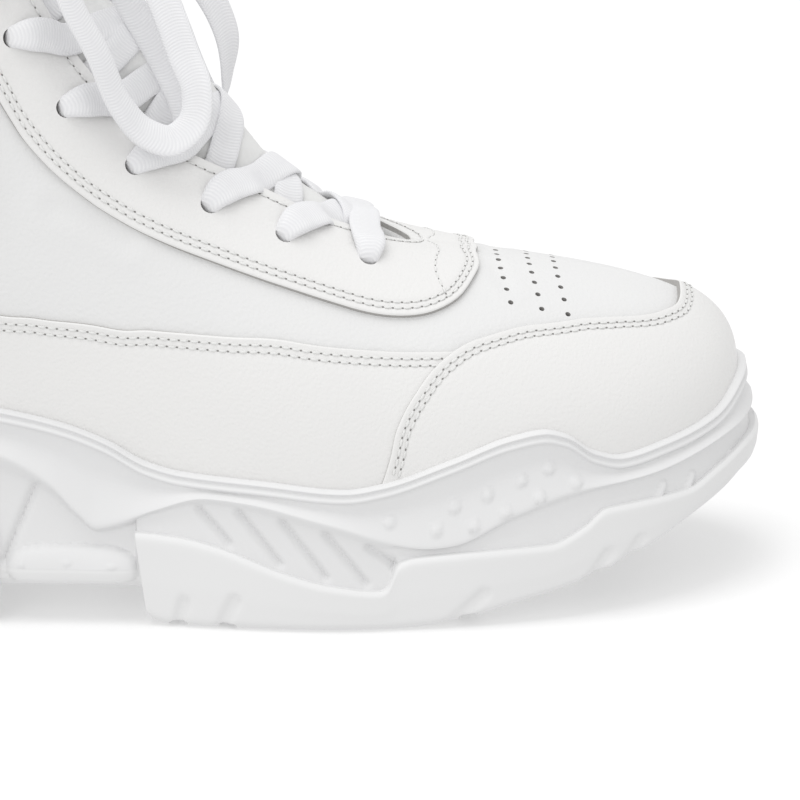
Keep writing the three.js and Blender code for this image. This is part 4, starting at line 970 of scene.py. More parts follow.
class SoleRelief:
    """Raised and sunk details of the sole's side, on the girth in millimetres and the height."""

    def __init__(self) -> None:
        """Works out the grooves' ends from the lines they run between."""
        self.grooves = []
        for head, foot in GROOVES:
            top = PLATFORM_HEIGHT * float(WAVE.read("rise", np.array(head))) - 3.0
            low = PLATFORM_HEIGHT * float(LEDGE_LINE.read("rise", np.array(foot))) + 1.6
            self.grooves.append((head, top, foot, low))

    @staticmethod
    def gap(turn: Array, z: Array, ends: tuple[float, float, float, float]) -> Array:
        """Distance to a slanted line on the side."""
        girth = OUTLINE.girth
        a = np.array([ends[0] * girth, ends[1]])
        d = np.array([ends[2] * girth, ends[3]]) - a
        p = np.stack(np.broadcast_arrays(girth_share(turn) * girth, z), -1) - a
        t = np.clip((p @ d) / (d @ d), 0, 1)
        return np.linalg.norm(p - t[..., None] * d, axis=-1)

    def midsole(self, turn: Array, z: Array) -> Array:
        """How far the midsole's side stands out: sunk grooves, raised domes, ribs and pod."""
        out = self.pod(turn, z)
        for ends in self.grooves:
            out -= 1.5 * np.exp(-(self.gap(turn, z, ends) / 0.9) ** 2)
        for at, height in DOTS:
            out += self.mark(turn, z, (at, height, at + 1e-4, height), 1.6, 0.85)
        for ends in RIBS:
            out += self.mark(turn, z, ends, 1.1, 0.9)
        return out

    def mark(self, turn: Array, z: Array, ends: Sequence[float], half: float, height: float) -> Array:
        """A raised round mark: a rib between two places, or a dome where both are one."""
        return height * np.sqrt(np.clip(1 - (self.gap(turn, z, ends) / half) ** 2, 0, 1))

    def outsole(self, turn: Array, z: Array) -> Array:
        """How far the outsole's side stands out: slanted notches sunk, the pod's lower half raised."""
        out = self.pod(turn, z)
        for ends in NOTCHES:
            out -= 1.2 * np.exp(-(self.gap(turn, z, ends) / 1.6) ** 3)
        return out

    def pod(self, turn: Array, z: Array) -> Array:
        """The arch pod: a long pillow, flat-topped along and round across, with small bumps."""
        reach = (OUTLINE.edge(turn)[..., 0] + POD_PLACE * SOLE_LENGTH / 2) / (POD_LENGTH / 2)
        tall = (z - POD_MIDDLE) / POD_HALF
        inside = np.clip(1 - np.abs(reach) ** 4 - np.abs(tall) ** 2.6, 0, 1)
        out = POD_SWELL * inside ** 0.42
        for at, height in POD_BUMPS:
            out += self.mark(turn, z, (at, height, at + 1e-4, height), 0.95, 0.4)
        return out


def in_arch(turn: Array) -> Array:
    """1 where the thin arch band is, else 0."""
    at = girth_share(turn)
    return ((at > ARCH_FROM) & (at < ARCH_TO)).astype(float)


def block_lean(points: Array) -> Array:
    """How far the forefoot block's back wall leans to the toe lower down, fading past the wall."""
    along = points[..., 0] - BLOCK_WALL
    away = along / np.where(along < 0, LEAN_BEHIND, LEAN_AHEAD)
    return BLOCK_LEAN * np.clip(1 - points[..., 2] / LEAN_TOP, 0, 1) * np.exp(-away ** 2)


def height_on(table: Table, turn: Array, scale: float = PLATFORM_HEIGHT) -> Array:
    """A sole line's height at turns."""
    return scale * table.read("rise", girth_share(turn))


def tread_relief(points: Array) -> Array:
    """How far the underside rises in the tread's cross grooves: flat-bottomed slots with soft walls."""
    x = points[..., 0]
    across = np.abs(points[..., 1] - swing(x) + OUTLINE.sideways)
    rise = np.zeros(x.shape)
    for at, reach in TREAD:
        side = ease((reach * BALL_WIDTH / 2 - across) / 1.2)
        away = np.abs(x - at * SOLE_LENGTH / 2)
        rise = np.maximum(rise, TREAD_DEPTH * side * (1 - ease((away - TREAD_WIDTH / 2 + 0.9) / 0.9)))
    return rise


@dataclass
class Outsole:
    """Moulded outsole: heel block, thin arch band with its pod, forefoot block, cross grooves."""

    columns: int = 1040
    rungs: int = 40

    def build(self, wardrobe: Wardrobe) -> None:
        """Stacks rings from the ledge down to the tread and closes both ends."""
        turn = np.arange(self.columns) * 2.0 / self.columns
        ledge, under = height_on(LEDGE_LINE, turn), height_on(UNDERSIDE, turn, TOE_SPRING)
        arch = in_arch(turn) * ARCH_INSET
        profile = [(0.9 - 0.8 * in_arch(turn), ledge), (0.0, ledge - 0.9), (0.4, mix(ledge, under, 0.55)),
                   (SOLE_CORNER / 2, under + SOLE_CORNER * 0.8), (SOLE_CORNER * 1.6, under)]
        rows = sampled([np.stack([arch + inset, z], -1) for inset, z in profile], (3, 12, 10, 6))
        relief = SoleRelief().outsole(turn[None], rows[..., 1])
        points = OUTLINE.wall(turn[None], rows[..., 0] - relief, rows[..., 1])
        points[..., 0] += block_lean(points)
        blend = np.linspace(0, 1, len(rows))[:, None] ** 24
        points[..., 2] += tread_relief(points) * blend
        skin = Skin()
        numbers = skin.grid(points, wrap=True)
        close_ring(skin, numbers[0], points[0], 4)
        base = points[-1].copy()
        base[:, 2] = under
        close_ring(skin, numbers[-1], base, self.rungs, tread_relief)
        dress(skin.build("outsole_moulded", wardrobe.pick(Finish.TREAD)), "outsole", "outsole")


@dataclass
class Midsole:
    """Moulded platform: rim bead, hollow, wave ridge, grooved and studded side, footbed."""

    columns: int = 1040
    plain_spans: int = 9

    def build(self, wardrobe: Wardrobe) -> None:
        """Stacks rings from the footbed over the rim down to the ledge and closes both ends."""
        turn = np.arange(self.columns) * 2.0 / self.columns
        rim, wave = height_on(RIM, turn), height_on(WAVE, turn)
        foot = height_on(LEDGE_LINE, turn) - 0.05 - 1.0 * (1 - in_arch(turn))
        under = rim - BEAD_HEIGHT
        hollow = np.maximum(0.5, under - wave)
        skirt = np.maximum(0.5, wave - foot)
        deep = BEAD_INSET + HOLLOW_DEPTH * np.minimum(1, hollow / 8)
        arch = in_arch(turn)
        base = arch * ARCH_INSET + (1 - arch) * LEDGE
        profile = [
            (RIM_WALL, height_on(FOOTBED, turn)), (RIM_WALL, rim - 0.7),
            (RIM_WALL - 1.6, rim), (BEAD_INSET + 0.9, rim - 0.4),
            (BEAD_INSET + 0.2, rim - BEAD_HEIGHT * 0.24), (BEAD_INSET + 1.0, rim - BEAD_HEIGHT * 0.46),
            (BEAD_INSET - 0.1, rim - BEAD_HEIGHT * 0.72), (BEAD_INSET, under + 0.4),
            (BEAD_INSET + 1.1, under), (deep, under - hollow * 0.35), (RIDGE_INSET, wave),
            (LEDGE + 1.0 + 1.2 * arch, wave - skirt * 0.16), (LEDGE + 0.6 + 1.0 * arch, mix(foot, wave, 0.4)),
            (base, foot)]
        counts = (4, 3, 3, 4, 5, 5, 3, 3, 7, 12, 7, 11, 14)
        rows = sampled([np.stack(np.broadcast_arrays(*row), -1) for row in profile], counts)
        relief = SoleRelief().midsole(turn[None], rows[..., 1])
        relief[: sum(counts[:self.plain_spans])] = 0
        points = OUTLINE.wall(turn[None], rows[..., 0] - relief, rows[..., 1])
        points[..., 0] += block_lean(points)
        skin = Skin()
        numbers = skin.grid(points, wrap=True)
        close_ring(skin, numbers[0], points[0], 6)
        close_ring(skin, numbers[-1], points[-1], 4)
        dress(skin.build("midsole_moulded", wardrobe.pick(Finish.SOLE)), "midsole", "midsole")


@dataclass
class Insole:
    """Thin cloth-faced inlay on the footbed."""

    columns: int = 360

    def build(self, wardrobe: Wardrobe) -> None:
        """Stacks rings with a rounded upper edge and closes both ends."""
        turn = np.arange(self.columns) * 2.0 / self.columns
        bed = height_on(FOOTBED, turn)
        inset = RIM_WALL + SEAT + UPPER_WALL + SEAT
        profile = [(0.0, SEAM), (0.0, INSOLE_THICKNESS - 0.9), (0.35, INSOLE_THICKNESS - 0.1),
                   (1.3, INSOLE_THICKNESS + SEAM)]
        rows = np.array([OUTLINE.wall(turn, inset + step + 0 * turn, bed + lift) for step, lift in profile])
        skin = Skin()
        numbers = skin.grid(rows, wrap=True)
        close_ring(skin, numbers[0], rows[0], 4)
        close_ring(skin, numbers[-1], rows[-1], 24)
        dress(skin.build("insole_inlay", wardrobe.pick(Finish.INSOLE)), "insole", "insole")


class Creases:
    """Soft folds of the upper, listed one by one: each runs between two places, sunk with raised sides."""

    # side, girth share and rise of both ends, depth and half width in millimetres
    FOLDS = [
        (-1, 0.30, 0.60, 0.36, 0.50, 0.55, 3.4), (-1, 0.29, 0.48, 0.37, 0.40, 0.4, 3.0),
        (-1, 0.25, 0.72, 0.34, 0.66, 0.4, 3.6), (-1, 0.43, 0.44, 0.49, 0.52, 0.35, 2.8),
        (-1, 0.17, 0.58, 0.25, 0.50, 0.4, 4.0), (1, 0.29, 0.58, 0.37, 0.50, 0.55, 3.4),
        (1, 0.27, 0.44, 0.36, 0.38, 0.4, 3.0), (1, 0.24, 0.70, 0.33, 0.64, 0.4, 3.6),
        (1, 0.42, 0.42, 0.49, 0.50, 0.35, 2.8), (1, 0.15, 0.52, 0.24, 0.46, 0.4, 4.0),
        (-1, 0.84, 0.68, 0.90, 0.80, 0.3, 2.4), (1, 0.84, 0.66, 0.90, 0.78, 0.3, 2.4),
    ]

    def lift(self, points: Array) -> Array:
        """Sum of the folds: a trough with a low ridge on each side, fading at both ends."""
        total = np.zeros(points.shape[:-1])
        for side, at_a, rise_a, at_b, rise_b, depth, half in self.FOLDS:
            share = np.linspace(0, 1, 12)
            at = mix(at_a, at_b, share)
            bow = 0.02 * np.sin(math.pi * share)
            line = rise_point(at if side < 0 else 2 - at, mix(rise_a, rise_b, share) + bow)
            away = near_line(points, line) / half
            total += depth * (0.55 * np.exp(-((away - 1.6) ** 2)) - np.exp(-(away ** 2)))
        return total


@dataclass
class HolePunch:
    """Round pins that punch the lace holes and the small air holes."""

    sides: int = 20
    reach: float = 8.0

    def pins(self, turn: Array, rise: Array, radius: float) -> bpy.types.Object:
        """A mesh of closed pins standing square to the upper at places."""
        axis = face_direction(turn, rise)
        centre = rise_point(turn, rise)
        side = unit(np.cross(axis, np.array([0.0, 0.31, 0.95])))
        other = np.cross(axis, side)
        angle = 2 * math.pi * np.arange(self.sides) / self.sides
        ring = radius * (side[:, None] * np.cos(angle)[:, None] + other[:, None] * np.sin(angle)[:, None])
        skin = Skin()
        for low, high in zip(centre[:, None] + ring - axis[:, None] * self.reach / 2,
                             centre[:, None] + ring + axis[:, None] * self.reach / 2):
            numbers = skin.grid(np.stack([low, high]), slot=1, wrap=True)
            skin.fan(numbers[0], low.mean(0), flip=True, slot=1)
            skin.fan(numbers[1], high.mean(0), slot=1)
        return skin.build("punch", [], 30.0)

    def punch(self, piece: bpy.types.Object, cutter: bpy.types.Object) -> None:
        """Cuts the pins out of a piece and keeps the result as its mesh."""
        cut = piece.modifiers.new("punch", "BOOLEAN")
        cut.operation = "DIFFERENCE"
        cut.solver = "MANIFOLD"
        cut.object = cutter
        graph = bpy.context.evaluated_depsgraph_get()
        mesh = bpy.data.meshes.new_from_object(piece.evaluated_get(graph))
        piece.modifiers.clear()
        old = piece.data
        piece.data = mesh
        mesh.name = old.name
        finish_mesh(mesh, 40.0)


def lace_hole_places() -> tuple[Array, Array]:
    """Turns and rises of the lace holes, first those of the outer side."""
    side = np.repeat([-1, 1], HOLE_COUNT)
    distance = FIRST_HOLE + HOLE_SPACING * np.tile(np.arange(HOLE_COUNT), 2)
    return THROAT.beside(side, distance, np.full(side.shape, HOLE_INSET))


def air_hole_places() -> tuple[Array, Array]:
    """Turns and rises of the air holes: bowed rows across the vamp, guessed and then settled onto it."""
    y = np.linspace(-AIR_HALF, AIR_HALF, AIR_COUNT)
    bow = 1 - (y / AIR_HALF) ** 2
    points = np.concatenate([np.stack([x - AIR_BOW * bow, y, 76.0 + 0 * y], -1) for x in AIR_ROWS])
    points[:, 1] += swing(points[:, 0]) - OUTLINE.sideways
    turn = np.where(points[:, 1] < swing(points[:, 0]) - OUTLINE.sideways, 0.87, 1.13)
    for _ in range(4):
        turn, rise = settle(points, turn, np.full(turn.shape, 0.66))
        points[:, 2] = rise_point(turn, rise)[:, 2]
    return turn, rise


@dataclass
class Upper:
    """One hollow leather shell: vamp and quarters in one, lined, open at throat, collar and underneath."""

    columns: int = 560
    outer_rows: int = 56
    inner_rows: int = 26

    def build(self, wardrobe: Wardrobe, punch: HolePunch, pins: Sequence[bpy.types.Object]) -> None:
        """Stacks rings from the skirt up the outside, over the top edge and down the lining."""
        turn = np.arange(self.columns) * 2.0 / self.columns
        foot = height_on(FOOTBED, turn) + SEAM
        inset = RIM_WALL + SEAT + 0 * turn
        rise = np.linspace(0, 1, self.outer_rows)[:, None]
        outer = rise_point(turn[None], rise)
        facing = face_direction(turn[None], rise)
        fold = Creases().lift(outer)
        outer = outer + facing * fold[..., None]
        edge_up = unit(outer[-1] - outer[-2])
        top = rise_point(turn, np.ones_like(turn))
        rolled = [top - facing[-1] * s * UPPER_WALL + edge_up * 0.55 * math.sin(math.pi * s)
                  for s in (0.25, 0.5, 0.75)]
        rise_in = np.linspace(1, 0, self.inner_rows)[:, None]
        depth = np.full((self.inner_rows, self.columns), -UPPER_WALL)
        inner = lifted(turn[None], rise_in + 0 * turn[None], depth)
        skirt_out = OUTLINE.wall(turn, inset, foot)
        skirt_in = OUTLINE.wall(turn, inset + UPPER_WALL, foot)
        rings = np.concatenate([skirt_out[None], outer, np.array(rolled), inner, skirt_in[None]])
        skin = Skin()
        split = 1 + self.outer_rows + 2
        first = skin.add_points(rings)
        numbers = first + np.arange(rings.shape[0] * rings.shape[1]).reshape(rings.shape[:2])
        skin.join(numbers[: split + 1], 0, wrap=True)
        skin.join(numbers[split:], 2, wrap=True)
        skin.join(np.stack([numbers[-1], numbers[0]]), 2, wrap=True)
        piece = skin.build("upper_shell", wardrobe.pick(Finish.UPPER, Finish.EDGE, Finish.LINING))
        for pin in pins:
            punch.punch(piece, pin)
        dress(piece, "upper_leather", "upper")


@dataclass
class SewnLine:
    """A chain of places on the upper that a row of stitches follows."""

    turn: Array
    rise: Array
    lift: float

    def points(self) -> Array:
        """The chain's points at its lift."""
        return lifted(self.turn, self.rise, np.full(self.turn.shape, self.lift))

    def at_pitch(self, pitch: float) -> tuple[Array, Array]:
        """Turns and rises evenly spaced along the chain."""
        run = run_along(self.points())
        places = np.arange(pitch / 2, run[-1], pitch)
        return np.interp(places, run, self.turn), np.interp(places, run, self.rise)


@dataclass
class Plate:
    """An overlay: a leather plate on the upper with a rounded face edge and a raw cut side."""

    name: str
    round_edge: float = 0.55
    top: float = OVERLAY_TOP
    sewn: list[SewnLine] = field(default_factory=list)

    def build(self, turn: Array, rise: Array, border: Array, wardrobe: Wardrobe) -> bpy.types.Object:
        """Makes the plate over a grid of places.

        Args:
            turn: turns, rows by columns.
            rise: rises, rows by columns.
            border: distance of each place from the plate's nearest edge.
            wardrobe: the finishes.

        Returns:
            The piece.
        """
        near = np.clip(border / self.round_edge, 0, 1)
        drop = 0.3 * (1 - np.sqrt(np.clip(1 - (1 - near) ** 2, 0, 1)))
        face = lifted(turn, rise, self.top - drop)
        for line in self.sewn:
            away = near_line(face, line.points()) / 0.7
            face -= face_direction(turn, rise) * (0.16 * np.exp(-away ** 2))[..., None]
        back = lifted(turn, rise, np.full(turn.shape, OVERLAY_FOOT))
        skin = Skin()
        top = skin.grid(face, 0)
        low = skin.grid(back, 1, flip=True)
        rims = [(top[0], low[0]), (low[-1], top[-1]), (low[:, 0], top[:, 0]), (top[:, -1], low[:, -1])]
        for upper_row, lower_row in rims:
            skin.join(np.stack([lower_row, upper_row]), 1)
        return skin.build(self.name, wardrobe.pick(Finish.OVERLAY, Finish.EDGE), 35.0)


def crowded(count: int, ends: float = 0.35) -> Array:
    """Shares from 0 to 1, closer together at both ends."""
    t = np.linspace(0, 1, count)
    return mix(t, (1 - np.cos(math.pi * t)) / 2, ends * 2)


def calmed(values: Array, passes: int) -> Array:
    """Values softened along their last axis by a repeated quarter-half-quarter mean whose ends stay."""
    out = np.array(values, dtype=float)
    for _ in range(passes):
        out[..., 1:-1] = (out[..., :-2] + 2 * out[..., 1:-1] + out[..., 2:]) / 4
    return out


def offset_line(turn: Array, rise: Array, distance: float) -> tuple[Array, Array]:
    """A chain moved sideways on the upper by a distance, to the right of its run."""
    points = rise_point(turn, rise)
    forward = unit(np.gradient(points, axis=0))
    return walk(turn, rise, forward, np.full(turn.shape, distance))


@dataclass
class Stitcher:
    """Sews rows of stitches: a low thread between two needle holes, each shown as a dark disc of painted
    shade.
    """

    thread: float = 0.3
    bow: float = 0.1
    dive: float = 0.28
    flatness: float = 0.62
    hole: float = 0.27
    rows: list[SewnLine] = field(default_factory=list)

    def sew(self, *lines: SewnLine) -> None:
        """Adds rows to sew."""
        self.rows.extend(lines)

    def build(self, wardrobe: Wardrobe) -> None:
        """Makes every thread and every needle hole's painted shade disc as two joined meshes."""
        threads, holes = Skin(), Skin()
        for line in self.rows:
            turn, rise = line.at_pitch(STITCH_PITCH)
            if len(turn) < 3:
                continue
            facing = face_direction(turn, rise)
            centre = rise_point(turn, rise) + facing * line.lift
            forward = unit(np.gradient(centre, axis=0))
            aside = unit(np.cross(facing, forward))
            self.add_threads(threads, centre, forward, aside, facing)
            # Each needle hole is a dark disc of painted shade, not a cut hole.
            self.add_hole_shades(holes, centre + forward * STITCH_PITCH / 2, forward, aside, facing)
        dress(threads.build("sewing_thread", wardrobe.pick(Finish.THREAD)), "upper_leather")
        dress(holes.build("needle_hole_painted_shade", wardrobe.pick(Finish.NEEDLE)), "upper_leather")

    def add_threads(self, skin: Skin, centre: Array, forward: Array, aside: Array, facing: Array) -> None:
        """Adds a bowed strand over each stitch: an ellipse carried along an arc whose ends dive in."""
        t = np.linspace(-1, 1, 7)
        angle = 2 * math.pi * np.arange(6) / 6
        size = self.thread * np.sqrt(np.clip(1.12 - t ** 2, 0.05, 1))
        along = t * (STITCH_PITCH / 2 - 0.25)
        up = self.bow - self.dive * t ** 4
        ring_a = size[:, None] * np.cos(angle)
        ring_u = up[:, None] + self.flatness * size[:, None] * np.sin(angle)
        points = (centre[:, None, None] + forward[:, None, None] * along[None, :, None, None]
                  + aside[:, None, None] * ring_a[None, ..., None]
                  + facing[:, None, None] * ring_u[None, ..., None])
        self.add_many(skin, points)

    @staticmethod
    def add_many(skin: Skin, points: Array) -> None:
        """Adds many closed tubes, given as tubes by rings by points."""
        tubes, rings, sides = points.shape[:3]
        numbers = skin.add_points(points) + np.arange(tubes * rings * sides).reshape(tubes, rings, sides)
        nxt = np.roll(numbers, -1, axis=2)
        skin.add_quads(np.stack([numbers[:, :-1], nxt[:, :-1], nxt[:, 1:], numbers[:, 1:]], -1))
        for ring, flip in ((0, True), (-1, False)):
            loop = numbers[:, ring]
            a, b, c = loop[:, :1].repeat(sides - 2, 1), loop[:, 1:-1], loop[:, 2:]
            order = [a, c, b] if flip else [a, b, c]
            skin.add_triangles(np.stack(order, -1))

    def add_hole_shades(self, skin: Skin, centre: Array, forward: Array, aside: Array, facing: Array) -> None:
        """Adds a low dark button at each needle hole: painted shade standing in for the hole's shadow."""
        angle = 2 * math.pi * np.arange(8) / 8
        disc = self.hole * (forward[:, None] * np.cos(angle)[None, :, None] * 1.15
                            + aside[:, None] * np.sin(angle)[None, :, None] * 0.8)
        levels = [(-0.25, 1.0), (0.0, 0.95), (0.035, 0.6)]
        points = np.stack([centre[:, None] + disc * share + facing[:, None] * up for up, share in levels], 1)
        self.add_many(skin, points)


@dataclass
class Eyestay:
    """Overlay round the throat, sewn with two rows outside and one beside the edge."""

    columns: int = 150
    rows: int = 46
    step: float = 0.6
    outer_rows: tuple[float, float] = (2.0, 3.7)
    edge_row: float = 3.6
    patch_span: tuple[float, float, float] = (4.5, 20.0, 24.0)
    patch_out: float = 6.6
    patch_drop: float = 6.2
    patch_points: int = 24
    patch_passes: int = 12

    def width(self, distance: Array) -> Array:
        """The plate's width beside the edge, widest at its front corners."""
        return EYESTAY_WIDTH * EYESTAY_EDGE.read("width", distance / EYESTAY_WIDTH)

    def build(self, wardrobe: Wardrobe, stitcher: Stitcher, punch: HolePunch, pin: bpy.types.Object) -> None:
        """Lays the plate beside the edge, punches its holes and gives its stitch rows."""
        share = np.linspace(-1, 1, 2 * self.columns + 1)
        side = np.where(share < 0, -1, 1)
        distance = np.abs(share) ** 1.35 * THROAT.length
        inward = mix(self.step, self.width(distance)[None], crowded(self.rows)[:, None])
        turn, rise = self.places(side[None] + 0 * inward, distance[None] + 0 * inward, inward)
        border = np.minimum(inward - self.step, self.width(distance)[None] - inward)
        plate = Plate("eyestay_overlay")
        lines = [self.row(distance, side, self.width(distance) - gap) for gap in self.outer_rows]
        lines.append(self.row(distance, side, np.full(distance.shape, self.edge_row)))
        plate.sewn = lines
        piece = plate.build(turn, rise, border, wardrobe)
        punch.punch(piece, pin)
        dress(piece, "upper_leather", "eyestay")
        stitcher.sew(*lines, self.front_seam(-1), self.front_seam(1))

    @staticmethod
    def places(side: Array, distance: Array, inward: Array, passes: int = 6) -> tuple[Array, Array]:
        """Places beside the edge, calmed along its run away from it and drawn up to the collar at the end."""
        turn, rise = THROAT.beside(side, distance, inward)
        away = np.clip(inward / CALM_REACH, 0, 1)
        turn, rise = mix(turn, calmed(turn, passes), away), mix(rise, calmed(rise, passes), away)
        near_collar = ease((distance - THROAT.length + COLLAR_RUN) / COLLAR_RUN)
        return turn, mix(rise, np.maximum(rise, COLLAR_REACH), near_collar)

    def row(self, distance: Array, side: Array, inward: Array) -> SewnLine:
        """A stitch row at a distance from the throat's edge."""
        return SewnLine(*self.places(side, distance, inward), OVERLAY_TOP)

    def front_seam(self, side: int) -> SewnLine:
        """The curved seam of the small front patch, from the throat's front out to the plate's corner."""
        near, turning, far = self.patch_span
        inward = np.linspace(near, far, self.patch_points)
        bend = np.clip((turning - inward) / (turning - near), 0, 1) ** 2.2
        distance = self.patch_out - self.patch_drop * bend
        places = self.places(np.full(self.patch_points, side), distance, inward, self.patch_passes)
        return SewnLine(*places, OVERLAY_TOP)


def rise_behind_rim(turn: Array) -> Array:
    """The rise at which each rise line passes the overlays' lower edge behind the rim, by halving."""
    z = height_on(RIM, turn) - RIM_TUCK
    low, high = np.zeros(turn.shape), np.full(turn.shape, 0.5)
    for _ in range(14):
        middle = (low + high) / 2
        under = rise_point(turn, middle)[..., 2] < z
        low, high = np.where(under, middle, low), np.where(under, high, middle)
    return low


@dataclass
class SideOverlay:
    """Low overlay along the rim, from under the toe cap round the heel, sewn twice along its top."""

    columns: int = 420
    rows: int = 30
    sewn_rows: tuple[float, float] = (1.8, 3.5)

    def build(self, wardrobe: Wardrobe, stitcher: Stitcher) -> None:
        """Lays the plate between the rim and its upper edge."""
        turn = np.linspace(-SIDE_END, SIDE_END, self.columns)
        at = girth_share(turn)
        cap = np.where(at < TOE_CAP_EDGE.at[0], 0.0, TOE_CAP_EDGE.read("rise", at) - CAP_OVERLAP)
        low = np.maximum(rise_behind_rim(turn), cap)
        high = SIDE_OVERLAY_EDGE.read("rise", at)
        rise = mix(low[None], high[None], crowded(self.rows)[:, None])
        turns = turn[None] + 0 * rise
        _, up = slopes(turn, high)
        border = np.minimum((high[None] - rise) * np.linalg.norm(up, axis=-1)[None], 99.0)
        seen = at < SIDE_SEWN
        lines = [SewnLine(*offset_line(turn[seen], high[seen], gap), SIDE_TOP) for gap in self.sewn_rows]
        plate = Plate("side_overlay_leather", top=SIDE_TOP, sewn=lines)
        dress(plate.build(turns, rise, border, wardrobe), "upper_leather", "side_overlay")
        stitcher.sew(*lines)


@dataclass
class ToeCap:
    """Overlay wrapped round the toe, with a raw edge and two stitch rows inside it."""

    columns: int = 300
    rows: int = 40
    sewn_rows: tuple[float, float] = (1.8, 3.2)

    def build(self, wardrobe: Wardrobe, stitcher: Stitcher) -> None:
        """Lays the plate between the rim and its upper edge."""
        turn = mix(0.6435, 1.3565, crowded(self.columns, 0.3))
        at = girth_share(turn)
        low = rise_behind_rim(turn)
        high = np.maximum(TOE_CAP_EDGE.read("rise", at), low + 0.004)
        rise = mix(low[None], high[None], crowded(self.rows)[:, None])
        turns = turn[None] + 0 * rise
        edge = rise_point(turn, high)
        border = near_line(rise_point(turns, rise), edge)
        inner = slice(3, -3)
        lines = [SewnLine(*offset_line(turn[inner], high[inner], gap), CAP_TOP) for gap in self.sewn_rows]
        plate = Plate("toe_cap_leather", top=CAP_TOP, sewn=lines)
        dress(plate.build(turns, rise, border, wardrobe), "upper_leather", "toe_cap")
        stitcher.sew(*lines)


def tucked(side: Array, distance: Array, inward: Array, depth: Array) -> Array:
    """Points under the throat's edge, below the upper's wall and the tongue's gap."""
    return THROAT.lifted(side, distance, inward, -UPPER_WALL - TONGUE_GAP - depth)


def crown_direction(distance: Array) -> Array:
    """The way the throat faces at a distance from its front: the mean of both edges."""
    total = np.zeros((*np.shape(distance), 3))
    for side in (-1, 1):
        turn, rise = THROAT.beside(side, distance, CROWN_IN)
        total += face_direction(turn, rise)
    return unit(total)


def crown_point(distance: Array, across: Array, lift: Array) -> Array:
    """Points over the tongue, arched between both edges; across runs from the outer edge (0) to 1."""
    distance, across, lift = (np.asarray(v, dtype=float) for v in np.broadcast_arrays(distance, across, lift))
    flat = np.full(distance.shape, CROWN_IN)
    outer = tucked(-1 + 0 * distance, distance, flat, 0 * flat)
    inner = tucked(1 + 0 * distance, distance, flat, 0 * flat)
    off = np.abs(2 * across - 1)
    crown = TONGUE_CROWN * ease((distance - TONGUE_FRONT) / CROWN_RUN) * (1 - off ** 2)
    height = crown + TONGUE_STAND.read("lift", distance) * (1 - off ** 2.6) + lift
    return mix(outer, inner, across[..., None]) + crown_direction(distance) * height[..., None]


